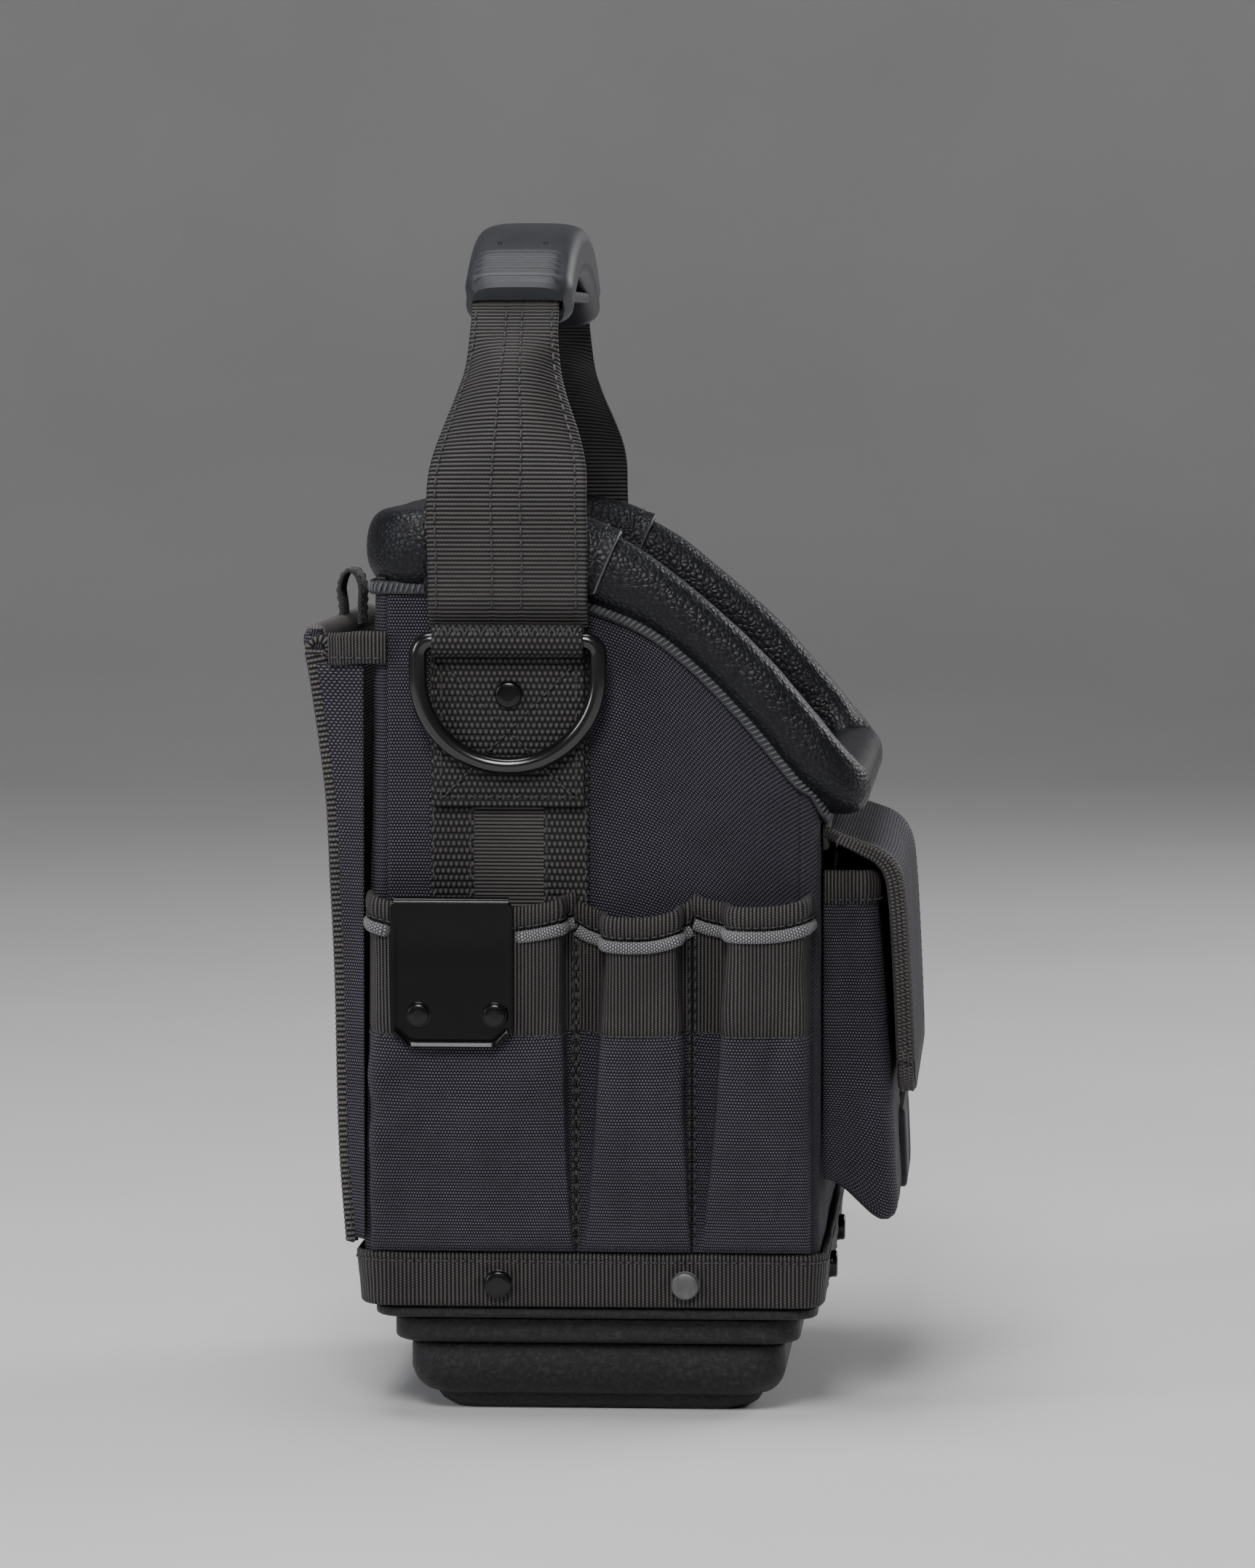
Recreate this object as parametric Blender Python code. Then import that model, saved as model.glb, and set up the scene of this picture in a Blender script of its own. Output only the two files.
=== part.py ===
"""Tool storage caddy: an open-topped fabric tool bag on a stepped moulded base.

Every dimension below is in millimetres and is turned into metres when a mesh is made.
X runs across the width, -Y is the front, +Z is up, and the origin is the middle of the base underside.
"left" is -X and "right" is +X.
"""

import math

import bmesh
import bpy
from mathutils import Vector

MM = 0.001
GAP = 0.3  # clearance between pieces that rest on each other

# Moulded base: height and half sizes of each step, and how far in the flat underside lies
MAIN_TOP, TIER_TOP, LIP_TOP = 23.0, 31.8, 36.2
FOOT_INSET = 13.3
MAIN_X, MAIN_Y = 84.6, 60.8
TIER_X, TIER_Y = 89.4, 65.6
LIP_X, LIP_Y = 95.1, 71.4
TRAY_FLOOR = 5.0
UPSTAND_TOP = 52.0

# Fabric body
WALL = 4.0
BODY_X = 97.0  # outer half width
BODY_FRONT = -72.5
SEAM_FRONT = -65.8
SEAM_REAR = 66.4
REAR_LOW, REAR_HIGH = 75.3, 71.0  # outer rear face at the band and under the collar
WALL_BOTTOM, BAND_TOP, REAR_TOP = LIP_TOP + GAP, 54.5, 268.2
FRONT_TOP = 195.6
TUCK = 1.4  # how far the wall narrows where it meets the base

# Padded leather collar round the mouth
COLLAR_X = 95.8
COLLAR_T = 18.0
COLLAR_BACK_Y, COLLAR_BACK_Z = 65.0, 280.7
COLLAR_FRONT_Y, COLLAR_FRONT_Z = -78.3, 204.0
COLLAR_CORNER = 9.5
COLLAR_TALL, COLLAR_SLIM = 25.0, 18.2
SLOPE_START = 34.0  # where the side of the mouth starts to drop

# Webbing, D-rings and handle
WEB = 50.8
STRAP_Y = 27.0
WEB_T = 1.7
PATCH_D0, PATCH_D1 = 99.3, 102.3
PATCH_LOW = 198.0
BAR_D, BAR_Z = 105.5, 251.2
WIRE_R = 2.9
RING_R = 28.75  # centre line radius of the round part of the D
RING_C = 240.0
SWING_Z = 282.5
STRAP_D = 106.9
SADDLE_LOW = 265.5
STRAP_T = 2.5
GRIP_HALF = 71.5
GRIP_W = 35.0
GRIP_T = 19.0
TOP_Z = 385.3

# Side pockets
POCKET_D = 99.3
POCKET_BULGE = 13.7
POCKET_LOW = 55.0
POCKET_CLOTH = 2.2
POCKET_BACK = 1.2

# Rear panel, front pocket and flap
BACK_X = 90.0
FRONT_X = 86.0
FRONT_D = -72.9
FLAP_X = 90.0
FLAP_AXIS_Y, FLAP_AXIS_Z = -77.5, 187.5

COLOURS = {
    "nylon_fabric": ((0.028, 0.027, 0.033), 0.82, 0.0),
    "webbing": ((0.017, 0.016, 0.016), 0.78, 0.0),
    "leather": ((0.012, 0.013, 0.017), 0.42, 0.0),
    "base_plastic": ((0.014, 0.014, 0.016), 0.55, 0.0),
    "black_metal": ((0.018, 0.018, 0.020), 0.28, 0.55),
    "worn_metal": ((0.16, 0.16, 0.17), 0.38, 0.8),
    "grip_rubber": ((0.015, 0.017, 0.022), 0.55, 0.0),
    "grey_tape": ((0.13, 0.13, 0.135), 0.85, 0.0),
    "badge_rubber": ((0.04, 0.04, 0.043), 0.6, 0.0),
    "lining_fabric": ((0.05, 0.05, 0.056), 0.9, 0.0),
}

for old in list(bpy.data.objects):
    bpy.data.objects.remove(old, do_unlink=True)


def material(name, colour, roughness, metallic):
    mat = bpy.data.materials.new(name)
    mat.use_nodes = True
    shader = mat.node_tree.nodes["Principled BSDF"]
    shader.inputs["Base Color"].default_value = (*colour, 1.0)
    shader.inputs["Roughness"].default_value = roughness
    shader.inputs["Metallic"].default_value = metallic
    mat.diffuse_color = (*colour, 1.0)
    return mat


MATERIALS = {name: material(name, *look) for name, look in COLOURS.items()}


def loft(name, rings, mat, loop=False, angle=35.0, pivot=None):
    """One closed body skinned over rings of equal count, capped at both ends unless it closes on itself.

    Its origin goes to the middle of its box, or to pivot when the piece turns on a joint there.
    """
    points = [Vector(p) for ring in rings for p in ring]
    if pivot is None:
        lows = [min(p[k] for p in points) for k in range(3)]
        highs = [max(p[k] for p in points) for k in range(3)]
        pivot = [(a + b) / 2 for a, b in zip(lows, highs)]
    centre = Vector(pivot)
    bm = bmesh.new()
    rows = [[bm.verts.new((Vector(p) - centre) * MM) for p in ring] for ring in rings]
    count = len(rows[0])
    last = len(rows) if loop else len(rows) - 1
    for i in range(last):
        a, b = rows[i], rows[(i + 1) % len(rows)]
        for k in range(count):
            n = (k + 1) % count
            bm.faces.new((a[k], a[n], b[n], b[k]))
    if not loop:
        bm.faces.new(list(reversed(rows[0])))
        bm.faces.new(rows[-1])
    bmesh.ops.remove_doubles(bm, verts=bm.verts, dist=2e-6)
    bmesh.ops.dissolve_degenerate(bm, edges=bm.edges, dist=1e-6)
    bmesh.ops.recalc_face_normals(bm, faces=bm.faces)
    mesh = bpy.data.meshes.new(name)
    bm.to_mesh(mesh)
    bm.free()
    obj = bpy.data.objects.new(name, mesh)
    obj.location = centre * MM
    bpy.context.scene.collection.objects.link(obj)
    mesh.materials.append(MATERIALS[mat])
    mesh.shade_smooth()
    mesh.set_sharp_from_angle(angle=math.radians(angle))
    return obj


def both(name, make):
    for label, side in (("left", -1.0), ("right", 1.0)):
        make(f"{name}_{label}", side)


def lerp(a, b, t):
    return a + (b - a) * t


def table(points, x):
    """Straight-line interpolation through (x, value) pairs given in rising x."""
    if x <= points[0][0]:
        return points[0][1]
    for (x0, v0), (x1, v1) in zip(points, points[1:]):
        if x <= x1:
            return lerp(v0, v1, (x - x0) / (x1 - x0))
    return points[-1][1]


def smooth(t):
    t = min(1.0, max(0.0, t))
    return t * t * (3 - 2 * t)


def rounded_rect(hx, hy, r, z, seg=4):
    points = []
    for cx, cy, a0 in ((1, 1, 0), (-1, 1, 90), (-1, -1, 180), (1, -1, 270)):
        for k in range(seg + 1):
            a = math.radians(a0 + 90 * k / seg)
            points.append(
                (cx * (hx - r) + r * math.cos(a), cy * (hy - r) + r * math.sin(a), z)
            )
    return points


# ---------------------------------------------------------------- moulded base
def step(z, inset, r):
    """Outline of the main step drawn in by inset on every side."""
    return z, MAIN_X - inset, MAIN_Y - inset, r


tray = [
    step(0.0, FOOT_INSET, 9),
    step(1.2, FOOT_INSET - 2.2, 10),
    step(4.4, FOOT_INSET - 5.2, 10),
    step(5.2, FOOT_INSET - 5.4, 10),
    step(6.8, 4.4, 10),
    step(9.0, 2.3, 10),
    step(12.0, 0.7, 10),
    step(14.5, 0.0, 10),
    step(MAIN_TOP - 1.2, 0.0, 10),
    step(MAIN_TOP, 0.8, 10),
    (24.7, TIER_X - 0.6, TIER_Y - 0.6, 10),
    (TIER_TOP - 1.0, TIER_X, TIER_Y, 10),
    (TIER_TOP, TIER_X - 0.4, TIER_Y - 0.4, 10),
    (32.6, LIP_X - 0.6, LIP_Y - 0.6, 10),
    (LIP_TOP - 0.7, LIP_X, LIP_Y, 10),
    (LIP_TOP, LIP_X - 0.6, LIP_Y - 0.6, 10),
    (LIP_TOP, BODY_X - TUCK - WALL - 0.4, LIP_Y - 4.6, 9),
    (UPSTAND_TOP, BODY_X - TUCK - WALL - 0.4, LIP_Y - 4.6, 9),
    (UPSTAND_TOP, 88.4, 64.0, 7),
    (33.0, 88.4, 64.0, 7),
    (25.0, 81.4, 57.6, 8),
    (12.0, 80.0, 56.2, 8),
    (TRAY_FLOOR, 75.0, 51.2, 6),
]
loft(
    "base_tray",
    [rounded_rect(hx, hy, r, z, 5) for z, hx, hy, r in tray],
    "base_plastic",
)
loft(
    "base_floor",
    [
        rounded_rect(74.6, 50.8, 6, TRAY_FLOOR + GAP, 3),
        rounded_rect(77.0, 53.2, 7, TRAY_FLOOR + 4.0, 3),
    ],
    "lining_fabric",
)


# ---------------------------------------------------------------- fabric body
def tuck(z):
    return TUCK * max(0.0, (BAND_TOP - z) / (BAND_TOP - WALL_BOTTOM))


def rear_y(z):
    t = (z - BAND_TOP) / (REAR_TOP - BAND_TOP)
    return lerp(REAR_LOW, REAR_HIGH, max(0.0, t)) - tuck(z)


def front_y(z):
    return BODY_FRONT + tuck(z)


def corner_point(z, out, rear, a):
    """A point of the wall's rounded corner, `out` mm outside its outer face; a is 0 at the side, 90 at the end."""
    seam = SEAM_REAR if rear else SEAM_FRONT
    end = rear_y(z) if rear else front_y(z)
    ry = abs(end - seam) + out
    rx = (8.9 if rear else 6.7) + out
    hx = BODY_X - tuck(z) + out
    a = math.radians(a)
    return hx - rx + rx * math.cos(a), seam + math.copysign(
        max(0.45, ry) * math.sin(a), end - seam
    )


def collar_curve(t):
    """Side view centre line of the mouth's slope, as (y, z)."""
    p = (
        (SLOPE_START, COLLAR_BACK_Z),
        (-8.0, COLLAR_BACK_Z),
        (-39.0, 257.0),
        (COLLAR_FRONT_Y, COLLAR_FRONT_Z),
    )
    u = 1 - t
    w = (u * u * u, 3 * u * u * t, 3 * u * t * t, t * t * t)
    return tuple(sum(w[i] * p[i][k] for i in range(4)) for k in (0, 1))


CURVE = sorted(collar_curve(i / 60) for i in range(61))


def collar_z(y):
    return table(CURVE, y)


def collar_slope(y):
    d = 0.5
    return math.atan2(collar_z(y + d) - collar_z(y - d), 2 * d)


def collar_h(y):
    return lerp(COLLAR_SLIM, COLLAR_TALL, smooth((y + 33.0) / 40.0))


def collar_low():
    points = []
    for i in range(121):
        y = lerp(COLLAR_FRONT_Y, 66.0, i / 120)
        a, h = collar_slope(y), collar_h(y) / 2 + 0.5
        points.append((y + h * math.sin(a), collar_z(y) - h * math.cos(a)))
    return sorted(points)


LOW = collar_low()


def side_panel(name, s):
    rings = []
    for i in range(13):
        y = lerp(SEAM_FRONT + 0.15, SEAM_REAR - 0.15, i / 12)
        top = table(LOW, y)
        levels = [WALL_BOTTOM, BAND_TOP, top]
        outer = [(s * (BODY_X - tuck(z)), y, z) for z in levels]
        inner = [(s * (BODY_X - WALL - tuck(z)), y, z) for z in reversed(levels)]
        rings.append(outer + inner)
    loft(name, rings, "nylon_fabric")


both("side_panel", side_panel)


def end_panel(name, rear):
    first = SEAM_REAR + 0.15 if rear else SEAM_FRONT - 0.15
    stations = [(-1, None)]
    stations += [(-1, a) for a in (22, 45, 68, 90)]
    stations += [(1, a) for a in (90, 68, 45, 22)] + [(1, None)]
    rings = []
    for s, a in stations:
        if rear:
            top = REAR_TOP if a else min(REAR_TOP, table(LOW, SEAM_REAR) - 0.3)
        else:
            share = (a or 0) / 90
            top = lerp(table(LOW, SEAM_FRONT) - 0.4, FRONT_TOP, min(1.0, share * 1.3))
        levels = [WALL_BOTTOM, BAND_TOP, lerp(BAND_TOP, top, 0.5), top]
        pts = []
        for out, zs in ((0.0, levels), (-WALL, list(reversed(levels)))):
            for z in zs:
                if a is None:
                    x, y = BODY_X - tuck(z) + out, first
                else:
                    x, y = corner_point(z, out, rear, a)
                pts.append((s * x, y, z))
        rings.append(pts)
    loft(name, rings, "nylon_fabric")


end_panel("front_panel", False)
end_panel("rear_panel", True)


def plan_ring(z, out):
    pts = []
    for s, rear, angles in (
        (1, False, (90, 68, 45, 22, 0)),
        (1, True, (0, 22, 45, 68, 90)),
        (-1, True, (90, 68, 45, 22, 0)),
        (-1, False, (0, 22, 45, 68, 90)),
    ):
        for a in angles:
            x, y = corner_point(z, out, rear, a)
            pts.append((s * x, y, z))
    return pts


BAND_LOW = 37.0
loft(
    "base_band",
    [
        plan_ring(BAND_LOW, GAP),
        plan_ring(BAND_LOW, GAP + WEB_T),
        plan_ring(BAND_TOP - 0.4, GAP + WEB_T),
        plan_ring(BAND_TOP - 0.4, GAP),
    ],
    "webbing",
    loop=True,
)


def rivet(name, centre, axis, radius, height, mat, shank=0.0):
    """A flat round head with an eased edge, whose back starts at centre and faces along axis."""
    axis = Vector(axis).normalized()
    side = axis.orthogonal().normalized()
    up = axis.cross(side)
    rings = []
    profile = [(0.0, 0.97), (0.2, 1.0), (0.72, 1.0), (1.0, 0.88)]
    for h, r in profile:
        rings.append(
            [
                Vector(centre)
                + axis * (height * h)
                + (side * math.cos(a) + up * math.sin(a)) * radius * r
                for a in (math.tau * k / 12 for k in range(12))
            ]
        )
    loft(name, rings, mat, angle=50)


BAND_FACE = BODY_X - tuck(49.0) + GAP + WEB_T + GAP
for i, y in enumerate((30.9, -29.2)):
    label = ("rear", "front")[i]
    worn = "worn_metal" if label == "front" else "black_metal"
    rivet(f"base_rivet_left_{label}", (-BAND_FACE, y, 44.2), (-1, 0, 0), 4.4, 2.2, worn)
    rivet(
        f"base_rivet_right_{label}",
        (BAND_FACE, y, 44.2),
        (1, 0, 0),
        4.4,
        2.2,
        "black_metal",
    )
for s, label in ((-1, "left"), (1, "right")):
    yf = front_y(49.0) - GAP - WEB_T - GAP
    yr = rear_y(49.0) + GAP + WEB_T + GAP
    rivet(
        f"base_rivet_front_{label}",
        (s * 45, yf, 44.2),
        (0, -1, 0),
        4.4,
        2.2,
        "black_metal",
    )
    rivet(
        f"base_rivet_back_{label}",
        (s * 45, yr, 44.2),
        (0, 1, 0),
        4.4,
        2.2,
        "black_metal",
    )


# ---------------------------------------------------------------- collar
def collar_station(x, y, z, tangent, width, height, grow=0.0, angles=None):
    t = Vector(tangent).normalized()
    w = t.cross(Vector((0, 0, 1))).normalized()
    n = w.cross(t)
    if n.z < 0:
        n = -n
    pts = []
    for a in angles:
        a = math.radians(a)
        c, q = math.cos(a), math.sin(a)
        p, r = abs(c) ** 0.8, abs(q) ** 0.8
        off = w * math.copysign((width / 2 + grow) * p, c) + n * math.copysign(
            (height / 2 + grow) * r, q
        )
        pts.append(Vector((x, y, z)) + off)
    return pts


FULL = [30 * k for k in range(12)]


def side_station(s, y, grow=0.0, angles=FULL):
    a = collar_slope(y)
    return collar_station(
        s * COLLAR_X,
        y,
        collar_z(y),
        (0, -s * math.cos(a), -s * math.sin(a)),
        COLLAR_T,
        collar_h(y),
        grow,
        angles,
    )


def corner_station(s, rear, a):
    cx = COLLAR_X - COLLAR_CORNER
    sign = 1 if rear else -1
    cy = (
        COLLAR_BACK_Y - COLLAR_CORNER
        if rear
        else COLLAR_FRONT_Y + COLLAR_CORNER
    )
    r = math.radians(a)
    x, y = cx + COLLAR_CORNER * math.cos(r), cy + sign * COLLAR_CORNER * math.sin(r)
    # heading that keeps the same handedness all the way round the mouth
    tx, ty = -math.sin(r), sign * math.cos(r)
    slope = 0.0 if rear else math.tan(collar_slope(y)) * ty * math.cos(r)
    heading = Vector((s * tx, ty, slope)) * (-s if rear else s) * (-1 if rear else 1)
    if not rear:
        heading = Vector((s * tx, ty, slope)) * s
    h = collar_h(y)
    t = COLLAR_T if rear else lerp(COLLAR_T, COLLAR_T + 1.6, a / 90)
    return collar_station(s * x, y, collar_z(y), heading, t, h, 0.0, FULL)


rear_rings = [side_station(-1, y) for y in (STRAP_Y + 0.15, 42.0, 54.0)]
rear_rings += [corner_station(-1, True, a) for a in (12, 35, 60, 90)]
rear_rings += [corner_station(1, True, a) for a in (90, 60, 35, 12)]
rear_rings += [side_station(1, y) for y in (54.0, 42.0, STRAP_Y + 0.15)]
front_ys = [lerp(STRAP_Y - 0.15, -66.5, i / 11) for i in range(12)]
front_rings = [side_station(-1, y) for y in front_ys]
front_rings += [corner_station(-1, False, a) for a in (12, 35, 60, 90)]
front_rings += [corner_station(1, False, a) for a in (90, 60, 35, 12)]
front_rings += [side_station(1, y) for y in reversed(front_ys)]


def same_turn(rings):
    """Rings seen from either side of the bag are written in one rotational order."""
    fixed = [rings[0]]
    for ring in rings[1:]:
        best = min(
            (ring, [ring[(6 - k) % 12] for k in range(12)]),
            key=lambda r: sum((Vector(p) - Vector(q)).length for p, q in zip(r, fixed[-1])),
        )
        fixed.append(best)
    return fixed


loft("rim_rear", same_turn(rear_rings), "leather", angle=50)
loft("rim_front", same_turn(front_rings), "leather", angle=50)

# ---------------------------------------------------------------- side webbing, D-rings
Y0, Y1 = STRAP_Y - WEB / 2, STRAP_Y + WEB / 2


def webbing(name, s):
    d0, d1 = BODY_X + GAP, BODY_X + GAP + WEB_T
    rings = [
        [(s * d0, y, z), (s * d1, y, z), (s * d1, y2, z), (s * d0, y2, z)]
        for z, y, y2 in ((56.0, Y0, Y1), (262.0, Y0, Y1))
    ]
    loft(name, rings, "webbing")


both("side_webbing", webbing)


def ring_loop(name, s):
    """Webbing folded round the D-ring's bar and sewn down as a patch below it."""
    outer = [(5.2, a) for a in range(180, -116, -25)]
    inner = [(3.2, a) for a in range(-115, 206, 32)]
    section = [(PATCH_D0, PATCH_LOW), (PATCH_D0, BAR_Z)]
    for r, a in outer + inner:
        a = math.radians(a)
        section.append((BAR_D + r * math.cos(a), BAR_Z + r * math.sin(a)))
    section += [(PATCH_D1, 249.0), (PATCH_D1, PATCH_LOW)]
    loft(
        name,
        [
            [(s * d, y, z) for d, z in section]
            for y in (STRAP_Y - 24.0, STRAP_Y + 24.0)
        ],
        "webbing",
        angle=40,
    )


both("d_ring_loop", ring_loop)


def d_ring(name, s):
    path = []
    corner, seg = 4.5, 3
    for k in range(seg + 1):
        a = math.radians(90 * (1 - k / seg))
        path.append(
            (
                RING_R - corner + corner * math.cos(a),
                BAR_Z - corner + corner * math.sin(a),
            )
        )
    for k in range(15):
        a = -math.pi * k / 14
        path.append((RING_R * math.cos(a), RING_C + RING_R * math.sin(a)))
    for k in range(seg + 1):
        a = math.radians(180 - 90 * k / seg)
        path.append(
            (
                -RING_R + corner + corner * math.cos(a),
                BAR_Z - corner + corner * math.sin(a),
            )
        )
    rings = []
    n = len(path)
    for i, (y, z) in enumerate(path):
        a, b = path[i - 1], path[(i + 1) % n]
        t = Vector((0, b[0] - a[0], b[1] - a[1])).normalized()
        side = t.cross(Vector((1, 0, 0)))
        rings.append(
            [
                Vector((s * BAR_D, STRAP_Y + y, z))
                + (Vector((1, 0, 0)) * math.cos(w) + side * math.sin(w)) * WIRE_R
                for w in (math.tau * k / 10 for k in range(10))
            ]
        )
    loft(name, rings, "black_metal", loop=True, angle=60, pivot=(s * BAR_D, STRAP_Y, BAR_Z))


both("d_ring", d_ring)
both(
    "d_ring_rivet",
    lambda name, s: rivet(
        name,
        (s * (PATCH_D1 + GAP), STRAP_Y, 233.9),
        (s, 0, 0),
        4.25,
        1.9,
        "black_metal",
    ),
)


def saddle(name, s):
    """Leather pad that wraps the collar under the handle strap."""
    around = [30 * k for k in range(-1, 8)]
    rings = []
    for i in range(7):
        y = lerp(-3.0, 53.8, i / 6)
        a = collar_slope(y)
        frame = (0, s * math.cos(a), s * math.sin(a))
        pts = []
        for grow in (GAP + 1.4, GAP + 0.2):
            skin = collar_station(
                s * COLLAR_X, y, collar_z(y), frame, COLLAR_T, collar_h(y), grow, around
            )
            hem = [Vector((skin[0].x, skin[0].y, SADDLE_LOW))] + skin
            pts += hem if not pts else hem[::-1]
        rings.append(pts)
    loft(name, rings, "leather")


both("strap_saddle", saddle)

# ---------------------------------------------------------------- handle
ARCH = [(STRAP_D + STRAP_T / 2, SWING_Z), (107.6, 296.0), (104.6, 309.8)]
ARCH += [(100.2, 320.0), (95.0, 329.8), (88.2, 339.4), (79.8, 347.8)]
GRIP_MID_Z = TOP_Z - GRIP_T / 2
GRIP_END_Z = 357.4


def grip_z(x):
    """Height of the strap inside the grip."""
    return GRIP_MID_Z - (GRIP_MID_Z - GRIP_END_Z) * (abs(x) / GRIP_HALF) ** 2.4


def strap_width(z):
    return lerp(WEB, 28.0, smooth((z - 300.0) / 52.0))


path, widths = [], []
for k in range(6):
    drop = (WEB / 2) * math.cos(math.radians(12 + 78 * k / 5))
    path.append((ARCH[0][0], SWING_Z - drop))
    widths.append(2 * math.sqrt((WEB / 2) ** 2 - drop**2))
for d, z in ARCH[1:]:
    path.append((d, z))
    widths.append(strap_width(z))
for x in (72.0, 60.0, 46.0, 30.0, 14.0):
    path.append((x, grip_z(x)))
    widths.append(28.0)
path = [(-d, z) for d, z in path] + [(d, z) for d, z in reversed(path)]
widths = widths + widths[::-1]


def sweep_xz(points, sizes, thick, y=STRAP_Y):
    rings = []
    for i, (x, z) in enumerate(points):
        a, b = points[max(0, i - 1)], points[min(len(points) - 1, i + 1)]
        t = Vector((b[0] - a[0], 0, b[1] - a[1])).normalized()
        n = Vector((-t.z, 0, t.x))
        c, w, h = Vector((x, y, z)), Vector((0, sizes[i] / 2, 0)), n * (thick / 2)
        rings.append([c - w - h, c + w - h, c + w + h, c - w + h])
    return rings


SWING = (0.0, STRAP_Y, SWING_Z)
loft("handle_strap", sweep_xz(path, widths, STRAP_T), "webbing", angle=30, pivot=SWING)


def grip():
    xs = [lerp(-GRIP_HALF, GRIP_HALF, i / 14) for i in range(15)]
    outer, inner = [], []
    for i, x in enumerate(xs):
        d = 1.0
        slope = (grip_z(x + d) - grip_z(x - d)) / (2 * d)
        n = Vector((-slope, 0, 1)).normalized()
        end = max(0.0, (abs(x) - GRIP_HALF + 6.0) / 6.0)
        w, h = GRIP_W / 2 - 1.4 * end, GRIP_T / 2 - 1.0 * end
        c = Vector((x, STRAP_Y - 0.8, grip_z(x)))
        for store, hw, hh, p in ((outer, w, h, 0.62), (inner, 15.2, 2.1, 0.3)):
            ring = []
            for k in range(12):
                a = math.radians(15 + 30 * k)
                q, r = math.cos(a), math.sin(a)
                centre = c if store is outer else c + Vector((0, 0.8, 0))
                ring.append(
                    centre
                    + Vector((0, math.copysign(hw * abs(q) ** p, q), 0))
                    + n * math.copysign(hh * abs(r) ** p, r)
                )
            store.append(ring)
    loft("handle_grip", outer + inner[::-1], "grip_rubber", loop=True, angle=45, pivot=SWING)


grip()


# ---------------------------------------------------------------- side pockets
def bulge(z, top):
    t = (z - POCKET_LOW) / (top - POCKET_LOW)
    return lerp(3.0, POCKET_BULGE, math.sin(min(1.0, t * 1.15) * math.pi / 2) ** 0.75)


def pocket_outline(y0, y1, g0, g1, b, inset, back, wrap):
    """Plan of a pleated pocket as (distance from the middle, y), the flat back last."""
    d0, d1 = POCKET_D + back, POCKET_D + b - inset
    a, c = y0 + inset, y1 - inset
    end = d0 - (2.0 if wrap and not back else 0.0)
    pts = [
        (d0, a),
        (lerp(d0, d1, 0.62), a + 0.4 * g0),
        (d1 - 0.5, a + g0),
        (d1, a + g0 + 3.5),
        (d1 + 0.2, (a + c) / 2),
        (d1, c - g1 - 3.5),
        (d1 - 0.5, c - g1),
        (lerp(d0, d1, 0.62), c - 0.4 * g1),
        (end, c),
        (d0, c - 5.0),
    ]
    return pts


POCKETS = {
    "rear": (6.4, 71.9, 6.0, 3.0, 166.4, 4.6, True),
    "middle": (-30.9, 5.4, 6.0, 8.5, 163.8, 5.0, False),
    "front": (-69.6, -31.9, 3.0, 11.0, 167.3, 3.4, False),
}
# The middle pocket's two pleats are the same; the front one's deep pleat is on its rear side.
BIND_H = 3.5


def pocket(name, s, spec):
    y0, y1, g0, g1, rim, sag, wrap = spec
    mid, half = (y0 + y1) / 2, (y1 - y0) / 2

    def ring(z, inset, back, at_top=False):
        pts = pocket_outline(y0, y1, g0, g1, bulge(z, rim), inset, back, wrap)
        out = []
        for d, y in pts:
            lift = sag * ((y - mid) / half) ** 2 if at_top else 0.0
            out.append((s * d, y, z + lift))
        return out

    top = rim - BIND_H - GAP
    levels = [POCKET_LOW, 61.0, 80.0, 122.0]
    rings = [ring(z, 0.0, 0.0) for z in levels] + [ring(top, 0.0, 0.0, True)]
    rings += [ring(top, POCKET_CLOTH, POCKET_BACK, True)]
    rings += [ring(z, POCKET_CLOTH, POCKET_BACK) for z in (122.0, 80.0, 64.0)]
    loft(name, rings, "nylon_fabric")
    # Binding sewn over the pocket's free edge
    outer = pocket_outline(y0, y1, g0, g1, bulge(rim, rim) + 0.5, 0.0, 0.0, wrap)[:9]
    inner = pocket_outline(
        y0, y1, g0, g1, bulge(rim, rim), POCKET_CLOTH + 0.6, 0.4, wrap
    )[:9]
    strips = []
    for (d0, a0), (d1, a1) in zip(outer, inner):
        lift = sag * ((a0 - mid) / half) ** 2
        z0, z1 = rim - BIND_H + lift, rim + lift
        strips.append(
            [
                (s * d0, a0, z0),
                (s * d0, a0, z1),
                (s * d1, a1, z1),
                (s * d1, a1, z0),
            ]
        )
    loft(name.replace("pocket", "pocket_binding"), strips, "webbing")


for side, s in (("left", -1.0), ("right", 1.0)):
    for label, spec in POCKETS.items():
        pocket(f"side_pocket_{side}_{label}", s, spec)


# ---------------------------------------------------------------- tape clip
def clip():
    y0, y1, z0, z1, cut, t = 24.8, 63.8, 122.0, 168.4, 5.5, 1.8

    def face(z):
        return table([(z0, 112.9), (160.0, 113.9), (164.0, 114.1), (z1, 115.4)], z)

    rings = []
    for z, inset in ((z0, cut), (z0 + cut, 0.0), (150.0, 0.0), (163.0, 0.0), (z1, 0.6)):
        a, b, d = y0 + inset, y1 - inset, face(z)
        rings.append([(-d, a, z), (-d - t, a, z), (-d - t, b, z), (-d, b, z)])
    loft("tape_clip", rings, "black_metal")
    for label, y in (("rear", 55.0), ("front", 30.7)):
        rivet(
            f"clip_rivet_{label}",
            (-face(132.5) - t - GAP, y, 132.5),
            (-1, 0, 0),
            3.5,
            1.8,
            "black_metal",
        )


clip()

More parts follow.
